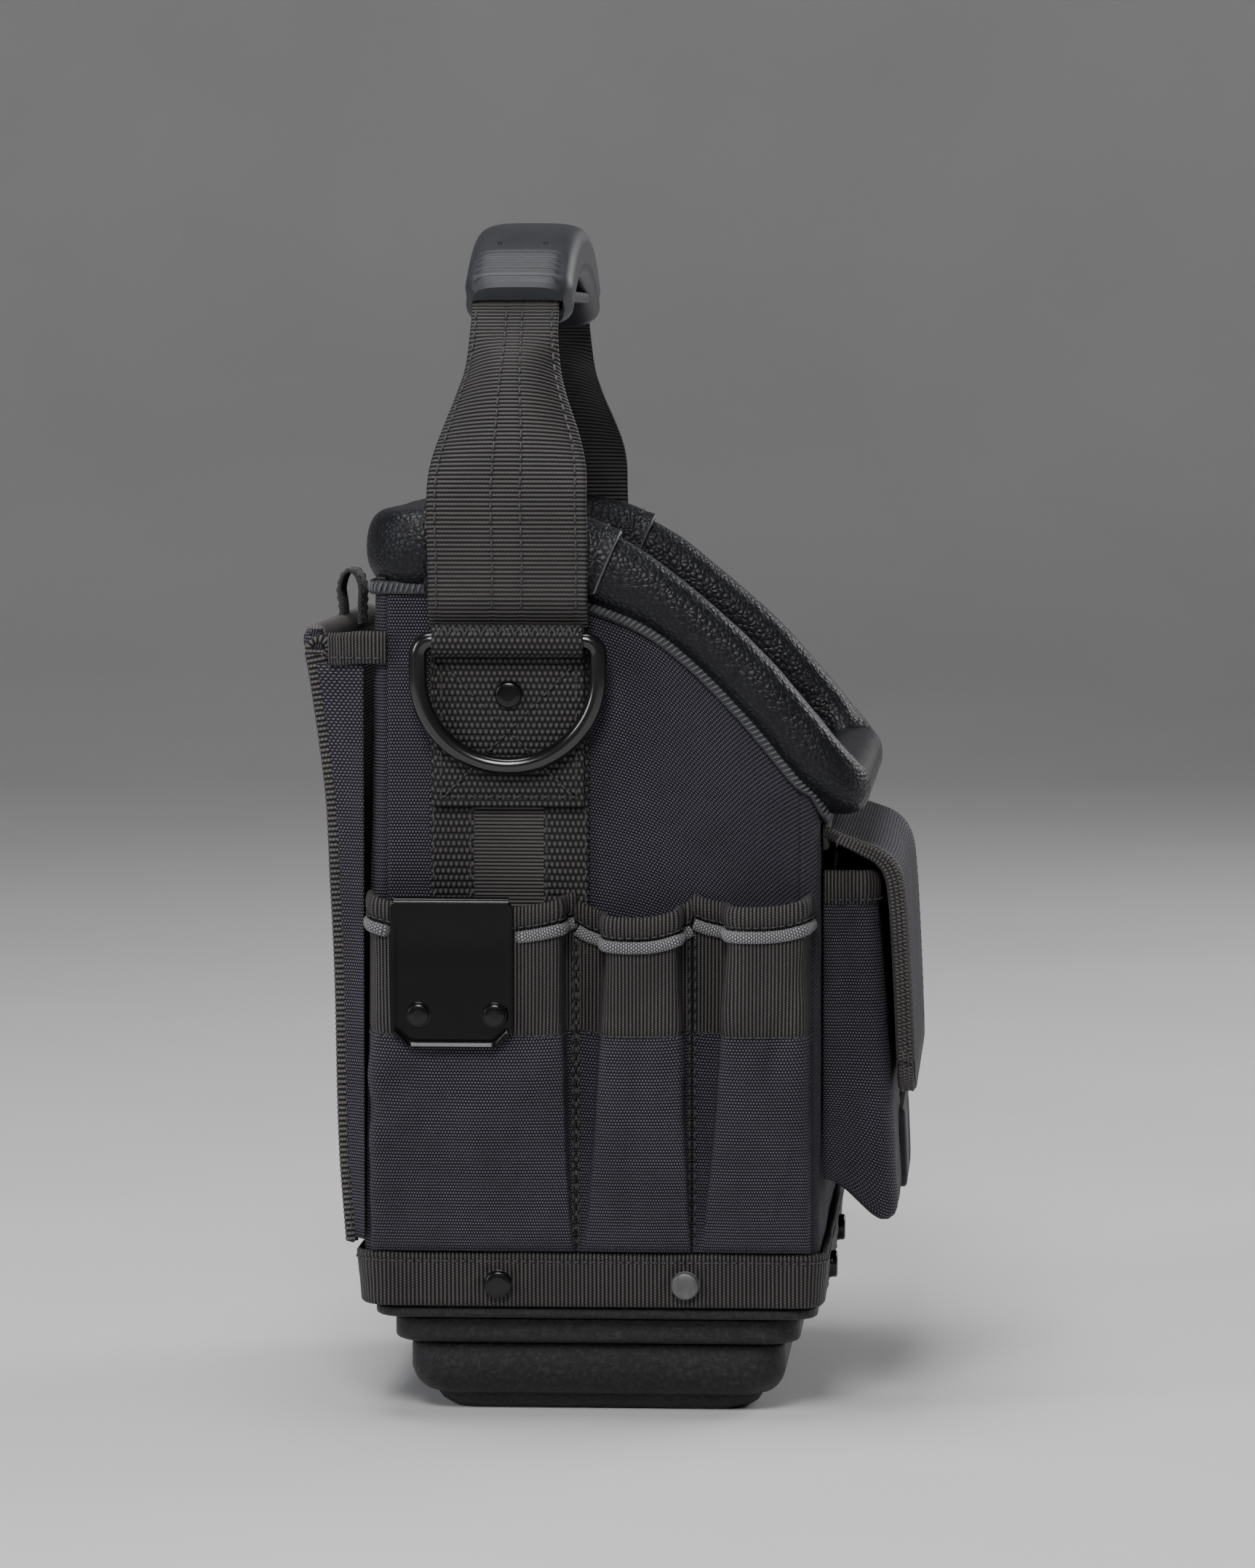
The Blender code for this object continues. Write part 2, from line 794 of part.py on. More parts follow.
# ---------------------------------------------------------------- rear panel
BACK_OUT = [
    (56.0, 80.0),
    (88.0, 82.3),
    (144.0, 83.6),
    (172.0, 84.9),
    (200.0, 86.3),
    (225.0, 89.4),
    (245.0, 92.6),
    (251.0, 94.6),
    (254.0, 92.8),
]


def back_out(z):
    return table(BACK_OUT, z)


def back_in(z):
    return max(rear_y(z) + 0.5, back_out(z) - table([(56, 4.0), (100, 6.6), (246, 7.4), (254, 4.6)], z))


back_levels = [56.0, 88.0, 144.0, 172.0, 200.0, 225.0, 245.0, 251.0, 254.0]
rings = []
for x, thin in ((-BACK_X, 1.4), (-BACK_X + 3, 0.0), (BACK_X - 3, 0.0), (BACK_X, 1.4)):
    ring = [(x, back_out(z) - thin, z) for z in back_levels]
    ring += [(x, back_in(z) + (thin if z > 90 else 0.2), z) for z in reversed(back_levels)]
    rings.append(ring)
loft("back_panel", rings, "nylon_fabric")


def gusset(name, s):
    rings = []
    for z in (60.0, 100.0, 172.0, 210.0, 242.8):
        y = back_out(z) - 2.2
        rings.append(
            [
                (s * 94.9, 73.6, z),
                (s * 96.2, 74.3, z),
                (s * 91.9, y, z),
                (s * 90.4, y, z),
            ]
        )
    loft(name, rings, "nylon_fabric")


both("back_gusset", gusset)


def gusset_binding(name, s):
    plan = [(98.2, 66.4), (98.4, 71.5), (96.6, 78.5), (92.4, 85.5)]
    rings = []
    for i, (d, y) in enumerate(plan):
        a, b = plan[max(0, i - 1)], plan[min(3, i + 1)]
        t = Vector((b[0] - a[0], b[1] - a[1], 0)).normalized()
        n = Vector((t.y, -t.x, 0)) * 0.9
        rings.append(
            [
                (s * (d + k * n.x), y + k * n.y, z)
                for k, z in ((-1, 243.2), (1, 243.2), (1, 254.0), (-1, 254.0))
            ]
        )
    loft(name, rings, "webbing")


both("gusset_binding", gusset_binding)


# Narrow tape folded in two, both ends sewn to the top of the rear panel
def hang_loop():
    y, half, foot, top, wide, thick = 87.4, 3.3, 254.4, 270.8, 10.0, 1.6
    path = [(y - half, foot), (y - half, 262.0)]
    rise = top - thick / 2 - 262.0
    for k in range(1, 8):
        a = math.pi * (1 - k / 8)
        path.append((y + half * math.cos(a), 262.0 + rise * math.sin(a)))
    path += [(y + half, 262.0), (y + half, foot)]
    rings = []
    for i, (py, pz) in enumerate(path):
        a, b = path[max(0, i - 1)], path[min(len(path) - 1, i + 1)]
        t = Vector((0, b[0] - a[0], b[1] - a[1])).normalized()
        n = Vector((0, -t.z, t.y)) * (thick / 2)
        c = Vector((0, py, pz))
        w = Vector((wide, 0, 0))
        rings.append([c - w - n, c + w - n, c + w + n, c - w + n])
    loft("back_hang_loop", rings, "grey_tape")


hang_loop()

# ---------------------------------------------------------------- front pocket
FRONT_PROFILE = [(63.0, -95.0), (66.0, -96.6), (73.0, -97.2), (106.0, -95.6)]
FRONT_PROFILE += [(129.0, -93.9), (165.0, -91.2), (177.0, -90.2)]


def pocket_front(z):
    return table(FRONT_PROFILE, z)


def front_ring(zf, zb, inset, back, seg=3):
    y0, y1 = FRONT_D - back, pocket_front(zf) + inset
    hx, r = FRONT_X - inset, 7.0 - min(inset, 2.5)
    pts = [(-hx, y0)]
    for s, order in ((-1, range(seg + 1)), (1, range(seg, -1, -1))):
        for k in order:
            a = math.radians(90 * k / seg)
            pts.append((s * (hx - r + r * math.cos(a)), y1 + r - r * math.sin(a)))
    pts.append((hx, y0))
    return [(x, y, lerp(zb, zf, (y - y0) / (y1 - y0))) for x, y in pts]


FP_RIM = 176.6
FP_TOP = FP_RIM - BIND_H - GAP
rings = [
    front_ring(zf, zb, i, 0.0)
    for zf, zb, i in (
        (63.0, 77.0, 1.5),
        (65.5, 78.0, 0.0),
        (73.0, 82.0, 0.0),
        (106.0, 107.0, 0.0),
        (129.0, 129.0, 0.0),
        (FP_TOP, FP_TOP, 0.0),
    )
]
rings += [
    front_ring(zf, zb, 2.5, 1.2)
    for zf, zb in ((FP_TOP, FP_TOP), (129.0, 129.0), (106.0, 107.0), (76.0, 84.0))
]
loft("front_pocket", rings, "nylon_fabric")
outer = [(x, y) for x, y, z in front_ring(FP_RIM, FP_RIM, -0.4, 0.0)]
inner = [(x, y) for x, y, z in front_ring(FP_RIM, FP_RIM, 3.0, 0.4)]
loft(
    "front_pocket_binding",
    [
        [(a[0], a[1], FP_RIM - BIND_H), (a[0], a[1], FP_RIM), (b[0], b[1], FP_RIM), (b[0], b[1], FP_RIM - BIND_H)]
        for a, b in zip(outer, inner)
    ],
    "webbing",
)

# Blank rubber badge low on the pocket
rings = []
for x in (-30.0, -27.0, 27.0, 30.0):
    trim = 3.0 if abs(x) == 30.0 else 0.0
    zs = [67.5 + trim, 73.0, 80.0, 94.0 - trim]
    rings.append(
        [(x, pocket_front(z) - GAP, z) for z in zs]
        + [(x, pocket_front(z) - GAP - 1.5, z) for z in reversed(zs)]
    )
loft("front_badge", rings, "badge_rubber")

# ---------------------------------------------------------------- flap
FLAP = [
    (-78.3, 187.1),
    (-85.2, 184.2),
    (-91.0, 181.4),
    (-94.9, 176.6),
    (-96.7, 167.2),
    (-98.3, 141.5),
    (-99.9, 105.0),
]
RUN = [0.0]
for p, q in zip(FLAP, FLAP[1:]):
    RUN.append(RUN[-1] + math.dist(p, q))


def flap_at(s):
    y = table([(r, p[0]) for r, p in zip(RUN, FLAP)], s)
    z = table([(r, p[1]) for r, p in zip(RUN, FLAP)], s)
    return y, z


def flap():
    total, radius = RUN[-1], 14.0
    shares = [r / total for r in RUN]
    rings = []
    xs = [-90.0, -88.6, -85.0, -76.0, 76.0, 85.0, 88.6, 90.0]
    for x in xs:
        over = max(0.0, abs(x) - (FLAP_X - radius))
        length = total - radius + math.sqrt(max(0.0, radius**2 - over**2))
        thin = 0.9 if abs(x) == 90.0 else 0.0
        up, down = [], []
        for share in shares:
            r = share * length
            y, z = flap_at(r)
            ya, za = flap_at(max(0.0, r - 1.5))
            yb, zb = flap_at(min(total, r + 1.5))
            t = Vector((0, yb - ya, zb - za)).normalized()
            n = Vector((0, t.z, -t.y))
            half = lerp(2.3, 2.9, smooth(r / 30.0)) - thin
            up.append(Vector((x, y, z)) - n * half)
            down.append(Vector((x, y, z)) + n * half)
        rings.append(up + down[::-1])
    loft("front_flap", rings, "nylon_fabric", pivot=(0.0, FLAP_AXIS_Y, FLAP_AXIS_Z))


flap()
yw = BODY_FRONT - GAP
loft(
    "flap_seam",
    [
        [(x, yw, 183.5), (x, yw - 1.9, 184.0), (x, yw - 1.9, 190.6), (x, yw, 192.0)]
        for x in (-FLAP_X + 1, FLAP_X - 1)
    ],
    "webbing",
)


# ---------------------------------------------------------------- sleeves inside the rear wall
def sleeve(name, xc):
    half = 25.0

    def ring(z, depth, inset, back):
        y0 = rear_y(z) - WALL - 0.5 - back
        y1 = y0 + back - depth + inset
        h = half - inset
        pts = [(-h, y0), (-h + 0.8, lerp(y0, y1, 0.6)), (-h + 4, y1), (0, y1 - 0.8)]
        pts += [(h - 4, y1), (h - 0.8, lerp(y0, y1, 0.6)), (h, y0)]
        return [(xc + x, y, z) for x, y in pts]

    rings = [
        ring(64.0, 3.5, 0.0, 0.0),
        ring(80.0, 9.0, 0.0, 0.0),
        ring(175.0, 12.5, 0.0, 0.0),
        ring(175.0, 12.5, 1.8, 1.0),
        ring(80.0, 9.0, 1.8, 1.0),
        ring(72.0, 7.0, 1.8, 1.0),
    ]
    loft(name, rings, "lining_fabric")


sleeve("inner_sleeve_left", -56.0)
sleeve("inner_sleeve_middle", 0.0)
sleeve("inner_sleeve_right", 56.0)
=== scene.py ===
"""Looks of the tool storage caddy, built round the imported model. Lengths are in millimetres until a mesh is made."""

import math

import bmesh
import bpy
from mathutils import Matrix, Vector, noise


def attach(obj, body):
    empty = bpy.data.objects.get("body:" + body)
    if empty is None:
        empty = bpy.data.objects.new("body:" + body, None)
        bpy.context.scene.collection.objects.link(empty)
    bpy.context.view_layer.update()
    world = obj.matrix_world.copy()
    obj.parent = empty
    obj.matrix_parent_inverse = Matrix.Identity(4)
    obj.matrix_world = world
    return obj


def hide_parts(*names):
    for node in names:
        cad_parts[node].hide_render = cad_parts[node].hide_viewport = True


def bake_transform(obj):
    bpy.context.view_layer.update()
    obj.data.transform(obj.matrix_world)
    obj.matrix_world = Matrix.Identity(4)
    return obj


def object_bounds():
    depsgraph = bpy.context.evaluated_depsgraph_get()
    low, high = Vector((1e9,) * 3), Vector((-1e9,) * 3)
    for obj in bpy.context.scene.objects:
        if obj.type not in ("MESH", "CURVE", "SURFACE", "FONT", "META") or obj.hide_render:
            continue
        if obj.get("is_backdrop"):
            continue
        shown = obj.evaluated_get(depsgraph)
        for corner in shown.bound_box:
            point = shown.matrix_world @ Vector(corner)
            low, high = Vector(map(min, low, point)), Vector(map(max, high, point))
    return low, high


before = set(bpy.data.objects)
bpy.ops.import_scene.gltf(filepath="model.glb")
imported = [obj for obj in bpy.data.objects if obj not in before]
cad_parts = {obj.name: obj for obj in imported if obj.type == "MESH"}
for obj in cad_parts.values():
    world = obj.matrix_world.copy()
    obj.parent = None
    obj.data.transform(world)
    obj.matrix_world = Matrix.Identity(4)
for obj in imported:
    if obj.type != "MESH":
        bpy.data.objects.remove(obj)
cad_low, cad_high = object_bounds()
MM = 0.001
GAP = 0.3


def lerp(a, b, t):
    return a + (b - a) * t


def clamp(t, a=0.0, b=1.0):
    return min(b, max(a, t))


def smooth(t):
    t = clamp(t)
    return t * t * (3 - 2 * t)


def table(points, x):
    if x <= points[0][0]:
        return points[0][1]
    for (x0, v0), (x1, v1) in zip(points, points[1:]):
        if x <= x1:
            return lerp(v0, v1, (x - x0) / (x1 - x0))
    return points[-1][1]


def curve_table(points, x):
    """Like table, but eased through the points so that nothing kinks."""
    n = len(points)
    if x <= points[0][0]:
        return points[0][1]
    for i in range(n - 1):
        x0, v0 = points[i]
        x1, v1 = points[i + 1]
        if x <= x1:
            t = (x - x0) / (x1 - x0)
            m0 = (v1 - points[i - 1][1]) / (x1 - points[i - 1][0]) if i else (v1 - v0) / (x1 - x0)
            m1 = (
                (points[i + 2][1] - v0) / (points[i + 2][0] - x0)
                if i + 2 < n
                else (v1 - v0) / (x1 - x0)
            )
            h = x1 - x0
            t2, t3 = t * t, t * t * t
            return (
                (2 * t3 - 3 * t2 + 1) * v0
                + (t3 - 2 * t2 + t) * m0 * h
                + (-2 * t3 + 3 * t2) * v1
                + (t3 - t2) * m1 * h
            )
    return points[-1][1]


def steps(a, b, size):
    """Evenly spaced values from a to b, at most size apart."""
    n = max(1, math.ceil(abs(b - a) / size))
    return [lerp(a, b, i / n) for i in range(n + 1)]


def wave(p, scale, seed=0.0):
    """Smooth noise from about -1 to 1 at a point in millimetres."""
    return noise.noise(Vector((p[0] / scale + seed, p[1] / scale - seed, p[2] / scale + 2 * seed)))


def fract(x):
    return x - math.floor(x)


def hump(x, p=0.7):
    return max(0.0, math.sin(math.pi * fract(x))) ** p


def weave(kind, u, v, pu, pv):
    """Height from 0 to 1 of a woven surface: ribs run along u, rows repeat along v."""
    row = math.floor(v / pv)
    a = u / pu + (0.5 if row % 2 else 0.0)
    if kind == "bead":
        return hump(a, 0.6) * hump(v / pv, 0.6)
    return hump(v / pv, 0.8) * (0.86 + 0.14 * hump(a, 0.8))


# ---------------------------------------------------------------- meshes
def piece(name, rows, mats, body="bag", close=False, ring=True, caps=True,
          us=None, vs=None, mat_of=None, angle=None, swap=False):
    """A skin over rows of points. ring joins each row's ends, close joins the last row to the first.

    The "mm" UV map holds millimetres along the rows (U) and across them (V).
    """
    count = len(rows[0])
    if us is None:
        us = [0.0]
        ref = rows[len(rows) // 2]
        for k in range(count if ring else count - 1):
            us.append(us[-1] + (Vector(ref[(k + 1) % count]) - Vector(ref[k])).length)
    if vs is None:
        vs = [0.0]
        mid = count // 3
        for i in range(len(rows) if close else len(rows) - 1):
            a, b = Vector(rows[i][mid]), Vector(rows[(i + 1) % len(rows)][mid])
            vs.append(vs[-1] + (b - a).length)
    verts = [Vector(p) * MM for row in rows for p in row]
    faces, uvs, kinds = [], [], []
    n_rows = len(rows) if close else len(rows) - 1
    n_cols = count if ring else count - 1
    for i in range(n_rows):
        a0, b0 = i * count, ((i + 1) % len(rows)) * count
        for k in range(n_cols):
            n = (k + 1) % count
            faces.append((a0 + k, a0 + n, b0 + n, b0 + k))
            uvs.append(((us[k], vs[i]), (us[k + 1], vs[i]), (us[k + 1], vs[i + 1]), (us[k], vs[i + 1])))
            kinds.append(mat_of(i, k) if mat_of else 0)
    if caps and ring and not close:
        for row, order, v in ((0, -1, vs[0]), (len(rows) - 1, 1, vs[-1])):
            idx = list(range(row * count, row * count + count))[::order]
            faces.append(tuple(idx))
            uvs.append(tuple((us[j % count], v) for j in idx))
            kinds.append(mat_of(min(row, n_rows - 1), 0) if mat_of else 0)
    mesh = bpy.data.meshes.new(name)
    mesh.from_pydata(verts, [], faces)
    layer = mesh.uv_layers.new(name="mm")
    flat = [c for f in uvs for uv in f for c in (reversed(uv) if swap else uv)]
    layer.data.foreach_set("uv", flat)
    for m in mats if isinstance(mats, (list, tuple)) else [mats]:
        mesh.materials.append(m)
    mesh.polygons.foreach_set("material_index", kinds)
    bm = bmesh.new()
    bm.from_mesh(mesh)
    bmesh.ops.remove_doubles(bm, verts=bm.verts, dist=1e-6)
    bmesh.ops.dissolve_degenerate(bm, edges=bm.edges, dist=5e-7)
    bmesh.ops.recalc_face_normals(bm, faces=bm.faces)
    bm.to_mesh(mesh)
    bm.free()
    mesh.shade_smooth()
    if angle:
        mesh.set_sharp_from_angle(angle=math.radians(angle))
    obj = bpy.data.objects.new(name, mesh)
    bpy.context.scene.collection.objects.link(obj)
    if body:
        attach(obj, body)
    return obj


def join_meshes(name, parts, mats, body="bag", angle=None):
    """One piece from a list of (points, faces, uvs, material index)."""
    verts, faces, uvs, kinds = [], [], [], []
    for pts, fs, uv, kind in parts:
        base = len(verts)
        verts += [Vector(p) * MM for p in pts]
        faces += [tuple(base + i for i in f) for f in fs]
        uvs += uv
        kinds += [kind] * len(fs)
    mesh = bpy.data.meshes.new(name)
    mesh.from_pydata(verts, [], faces)
    layer = mesh.uv_layers.new(name="mm")
    layer.data.foreach_set("uv", [c for f in uvs for p in f for c in p])
    for m in mats if isinstance(mats, (list, tuple)) else [mats]:
        mesh.materials.append(m)
    mesh.polygons.foreach_set("material_index", kinds)
    bm = bmesh.new()
    bm.from_mesh(mesh)
    bmesh.ops.recalc_face_normals(bm, faces=bm.faces)
    bm.to_mesh(mesh)
    bm.free()
    mesh.shade_smooth()
    if angle:
        mesh.set_sharp_from_angle(angle=math.radians(angle))
    obj = bpy.data.objects.new(name, mesh)
    bpy.context.scene.collection.objects.link(obj)
    if body:
        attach(obj, body)
    return obj


def tube_part(path, radius, sides=8, kind=0, squash=1.0, close=False, normal=None, taper=True):
    """A round tube along a path as a part for join_meshes; squash flattens it along normal."""
    path = [Vector(p) for p in path]
    pts, fs, uvs = [], [], []
    n = len(path)
    run = 0.0
    runs = []
    for i, p in enumerate(path):
        a, b = path[i - 1 if (i or close) else 0], path[(i + 1) % n if (i + 1 < n or close) else i]
        t = (b - a).normalized()
        w = Vector(normal(i) if callable(normal) else normal) if normal is not None else Vector((0.3, 0.2, 1.0))
        w = (w - t * w.dot(t)).normalized()
        s = t.cross(w)
        r = radius(i) if callable(radius) else radius
        for k in range(sides):
            q = math.tau * k / sides
            pts.append(p + s * (math.cos(q) * r) + w * (math.sin(q) * r * squash))
        runs.append(run)
        if i + 1 < n:
            run += (path[i + 1] - p).length
    turns = n if close else n - 1
    rr = radius(0) if callable(radius) else radius
    for i in range(turns):
        j = (i + 1) % n
        v0, v1 = runs[i], runs[i] + (path[j] - path[i]).length
        for k in range(sides):
            m = (k + 1) % sides
            fs.append((i * sides + k, i * sides + m, j * sides + m, j * sides + k))
            u0, u1 = math.tau * rr * k / sides, math.tau * rr * (k + 1) / sides
            uvs.append(((u0, v0), (u1, v0), (u1, v1), (u0, v1)))
    if not close:
        fs.append(tuple(range(sides))[::-1])
        uvs.append(tuple((0.0, 0.0) for _ in range(sides)))
        fs.append(tuple(range((n - 1) * sides, n * sides)))
        uvs.append(tuple((0.0, 0.0) for _ in range(sides)))
    return pts, fs, uvs, kind


def stitches(path, normal, pitch=3.6, share=0.72, radius=0.34, kind=0, lift=0.12):
    """Sewing thread along a path: each stitch is a short bead that dips into the cloth at both ends."""
    path = [Vector(p) for p in path]
    runs = [0.0]
    for a, b in zip(path, path[1:]):
        runs.append(runs[-1] + (b - a).length)

    def at(r):
        for i in range(len(path) - 1):
            if r <= runs[i + 1] or i == len(path) - 2:
                t = clamp((r - runs[i]) / max(1e-6, runs[i + 1] - runs[i]))
                return path[i].lerp(path[i + 1], t), i
        return path[-1], len(path) - 2

    out = []
    count = max(1, int(runs[-1] / pitch))
    for k in range(count):
        r0 = (k + 0.5 * (1 - share)) * runs[-1] / count
        r1 = r0 + share * runs[-1] / count
        pts, nrm = [], None
        for j in range(5):
            t = j / 4
            p, i = at(lerp(r0, r1, t))
            nrm = Vector(normal(p) if callable(normal) else normal).normalized()
            pts.append(p + nrm * (lift + radius * 0.9 * math.sin(math.pi * t) - radius * 0.5))
        out.append(tube_part(pts, lambda i: radius * (0.55, 0.95, 1.0, 0.95, 0.55)[i], 5, kind, 0.75, normal=nrm))
    return out


def disc(centre, axis, profile, sides=40, kind=0):
    """A turned shape: profile is (distance along axis, radius) from the back face to the middle of the front."""
    axis = Vector(axis).normalized()
    side = axis.orthogonal().normalized()
    up = axis.cross(side)
    pts, fs, uvs = [], [], []
    for h, r in profile:
        for k in range(sides):
            a = math.tau * k / sides
            pts.append(Vector(centre) + axis * h + (side * math.cos(a) + up * math.sin(a)) * r)
    for i in range(len(profile) - 1):
        for k in range(sides):
            n = (k + 1) % sides
            fs.append((i * sides + k, i * sides + n, (i + 1) * sides + n, (i + 1) * sides + k))
            uvs.append(tuple((k * 0.6, profile[i][1]) for _ in range(4)))
    for row, order in ((0, -1), (len(profile) - 1, 1)):
        idx = list(range(row * sides, row * sides + sides))[::order]
        fs.append(tuple(idx))
        uvs.append(tuple((0.0, 0.0) for _ in idx))
    return pts, fs, uvs, kind


# ---------------------------------------------------------------- materials
class Mat:
    """A small builder for node materials. Coordinates are millimetres."""

    def __init__(self, name, rough=0.6, metallic=0.0, specular=0.5, sheen=0.0, sheen_rough=0.5, coat=0.0, coat_rough=0.3):
        self.mat = bpy.data.materials.new(name)
        self.mat.use_nodes = True
        self.nt = self.mat.node_tree
        self.shader = self.nt.nodes["Principled BSDF"]
        s = self.shader.inputs
        s["Roughness"].default_value = rough
        s["Metallic"].default_value = metallic
        s["Specular IOR Level"].default_value = specular
        s["Sheen Weight"].default_value = sheen
        s["Sheen Roughness"].default_value = sheen_rough
        s["Coat Weight"].default_value = coat
        s["Coat Roughness"].default_value = coat_rough
        self._uv = None

    def node(self, kind, **values):
        n = self.nt.nodes.new(kind)
        for k, v in values.items():
            setattr(n, k, v)
        return n

    def link(self, a, b):
        self.nt.links.new(a, b)

    def math(self, op, a, b=None, c=None, clamp=False):
        n = self.node("ShaderNodeMath", operation=op)
        n.use_clamp = clamp
        for i, v in enumerate((a, b, c)):
            if v is None:
                continue
            if isinstance(v, (int, float)):
                n.inputs[i].default_value = v
            else:
                self.link(v, n.inputs[i])
        return n.outputs[0]

    def uv(self):
        """U and V in millimetres."""
        if self._uv is None:
            m = self.node("ShaderNodeUVMap", uv_map="mm")
            s = self.node("ShaderNodeSeparateXYZ")
            self.link(m.outputs[0], s.inputs[0])
            self._uv = (s.outputs[0], s.outputs[1])
        return self._uv

    def place(self):
        """Object coordinates, in metres."""
        return self.node("ShaderNodeTexCoord").outputs["Object"]

    def noise(self, scale, detail=3.0, rough=0.55, stretch=None, where=None):
        n = self.node("ShaderNodeTexNoise")
        n.inputs["Scale"].default_value = scale
        n.inputs["Detail"].default_value = detail
        n.inputs["Roughness"].default_value = rough
        src = where or self.place()
        if stretch:
            m = self.node("ShaderNodeMapping")
            m.inputs["Scale"].default_value = stretch
            self.link(src, m.inputs[0])
            src = m.outputs[0]
        self.link(src, n.inputs["Vector"])
        return n.outputs[0]

    def hump(self, x, p):
        f = self.math("FRACT", x)
        s = self.math("SINE", self.math("MULTIPLY", f, math.pi))
        return self.math("POWER", self.math("MAXIMUM", s, 0.0), p)

    def weave(self, kind, pu, pv, swap=False, shift=None):
        u, v = self.uv()
        if swap:
            u, v = v, u
        if shift is not None:
            v = self.math("ADD", v, shift)
        vv = self.math("DIVIDE", v, pv)
        row = self.math("FLOOR", vv)
        half = self.math("MULTIPLY", self.math("FLOORED_MODULO", row, 2.0), 0.5)
        a = self.math("ADD", self.math("DIVIDE", u, pu), half)
        if kind == "bead":
            return self.math("MULTIPLY", self.hump(a, 0.6), self.hump(vv, 0.6))
        sub = self.math("MULTIPLY_ADD", self.hump(a, 0.8), 0.14 if kind == "rib" else 0.3, 0.86 if kind == "rib" else 0.7)
        return self.math("MULTIPLY", self.hump(vv, 0.8), sub)

    def ramp(self, fac, stops):
        r = self.node("ShaderNodeValToRGB")
        e = r.color_ramp.elements
        while len(e) < len(stops):
            e.new(0.5)
        for el, (pos, col) in zip(e, stops):
            el.position = pos
            el.color = (*col, 1.0) if len(col) == 3 else col
        self.link(fac, r.inputs[0])
        return r.outputs[0]

    def mix(self, fac, a, b, blend="MIX"):
        n = self.node("ShaderNodeMix", data_type="RGBA", blend_type=blend)
        for sock, v in ((n.inputs[0], fac), (n.inputs[6], a), (n.inputs[7], b)):
            if isinstance(v, (int, float)):
                sock.default_value = v
            elif isinstance(v, tuple):
                sock.default_value = (*v, 1.0) if len(v) == 3 else v
            else:
                self.link(v, sock)
        return n.outputs[2]

    def bump(self, height, distance, strength=1.0, after=None):
        b = self.node("ShaderNodeBump")
        b.inputs["Distance"].default_value = distance * MM
        b.inputs["Strength"].default_value = strength
        self.link(height, b.inputs["Height"])
        if after is not None:
            self.link(after, b.inputs["Normal"])
        return b.outputs[0]

    def done(self, colour=None, rough=None, normal=None):
        if colour is not None:
            if isinstance(colour, tuple):
                self.shader.inputs["Base Color"].default_value = (*colour, 1.0)
            else:
                self.link(colour, self.shader.inputs["Base Color"])
        if rough is not None:
            self.link(rough, self.shader.inputs["Roughness"])
        if normal is not None:
            self.link(normal, self.shader.inputs["Normal"])
        return self.mat


def mul(c, k):
    return tuple(x * k for x in c)


def cloth(name, colour, kind, pu, pv, depth, swap=False, gap_shade=0.25, rough=0.8, sheen=0.12, top_highlight=1.5, specular=0.18, fibre_glint=0.14, extra=None):
    """Woven cloth: painted shade in the gaps between threads, painted highlights on the thread tops, painted fibre
    glints, slow colour drift and a bump at thread scale.
    """
    m = Mat(name, rough=rough, sheen=sheen, sheen_rough=0.45, specular=specular)
    h = m.weave(kind, pu, pv, swap)
    fibres = m.noise(1800, 2.0, 0.6)
    drift = m.noise(38, 4.0, 0.6)
    # Painted shade darkens the colour in the gaps between threads, and a painted highlight brightens the thread tops.
    base = m.ramp(h, [(0.0, mul(colour, gap_shade * 0.2)), (0.4, mul(colour, gap_shade + 0.1)), (0.68, mul(colour, 1.0)), (1.0, mul(colour, top_highlight * 1.9))])
    # Random fibre-scale flecks are mixed in as painted glints on the fibres.
    c = m.mix(fibre_glint, base, m.ramp(fibres, [(0.3, mul(colour, 0.3)), (0.72, mul(colour, 2.2))]))
    c = m.mix(0.35, c, m.ramp(drift, [(0.3, (0.55, 0.55, 0.55)), (0.7, (1.35, 1.35, 1.35))]), "MULTIPLY")
    height = m.math("MULTIPLY_ADD", fibres, 0.18, h)
    r = m.math("MULTIPLY_ADD", h, -0.12, rough + 0.08, clamp=True)
    return m.done(c, r, m.bump(height, depth))


NYLON_C = (0.031, 0.0285, 0.038)
WEB_C = (0.0215, 0.020, 0.0195)

M = {}
M["nylon"] = cloth("ballistic_nylon", NYLON_C, "bead", 1.0, 1.0, 0.4, gap_shade=0.12, rough=0.6, sheen=0.05, top_highlight=2.2)
# Lighter copy of the nylon for the deep pleat columns and the rear gussets: painted light lifting the shade in these
# recesses
M["nylon_dark"] = cloth("pleat_nylon_painted_light", mul(NYLON_C, 1.15), "bead", 1.0, 1.0, 0.4, gap_shade=0.12, rough=0.65, sheen=0.03, top_highlight=2.0)
M["web_fine"] = cloth("handle_webbing", WEB_C, "rib", 1.1, 1.42, 0.2, gap_shade=0.06, rough=0.5, sheen=0.04, top_highlight=2.1, specular=0.22)
M["web_bead"] = cloth("coarse_webbing", WEB_C, "bead", 1.8, 2.08, 0.22, gap_shade=0.06, rough=0.5, sheen=0.04, top_highlight=2.0, specular=0.22)
M["web_rib"] = cloth("ribbed_webbing", WEB_C, "rib", 0.9, 1.2, 0.2, gap_shade=0.08, rough=0.52, sheen=0.04, top_highlight=2.3, specular=0.22)
M["band"] = cloth("binding_webbing", mul(WEB_C, 1.05), "knot", 0.8, 1.13, 0.25, swap=True, gap_shade=0.08, rough=0.55, sheen=0.04, top_highlight=2.3, specular=0.2)
M["band_wide"] = cloth("foot_webbing", mul(WEB_C, 1.05), "knot", 0.9, 1.3, 0.28, swap=True, gap_shade=0.08, rough=0.55, sheen=0.04, top_highlight=2.3, specular=0.2)
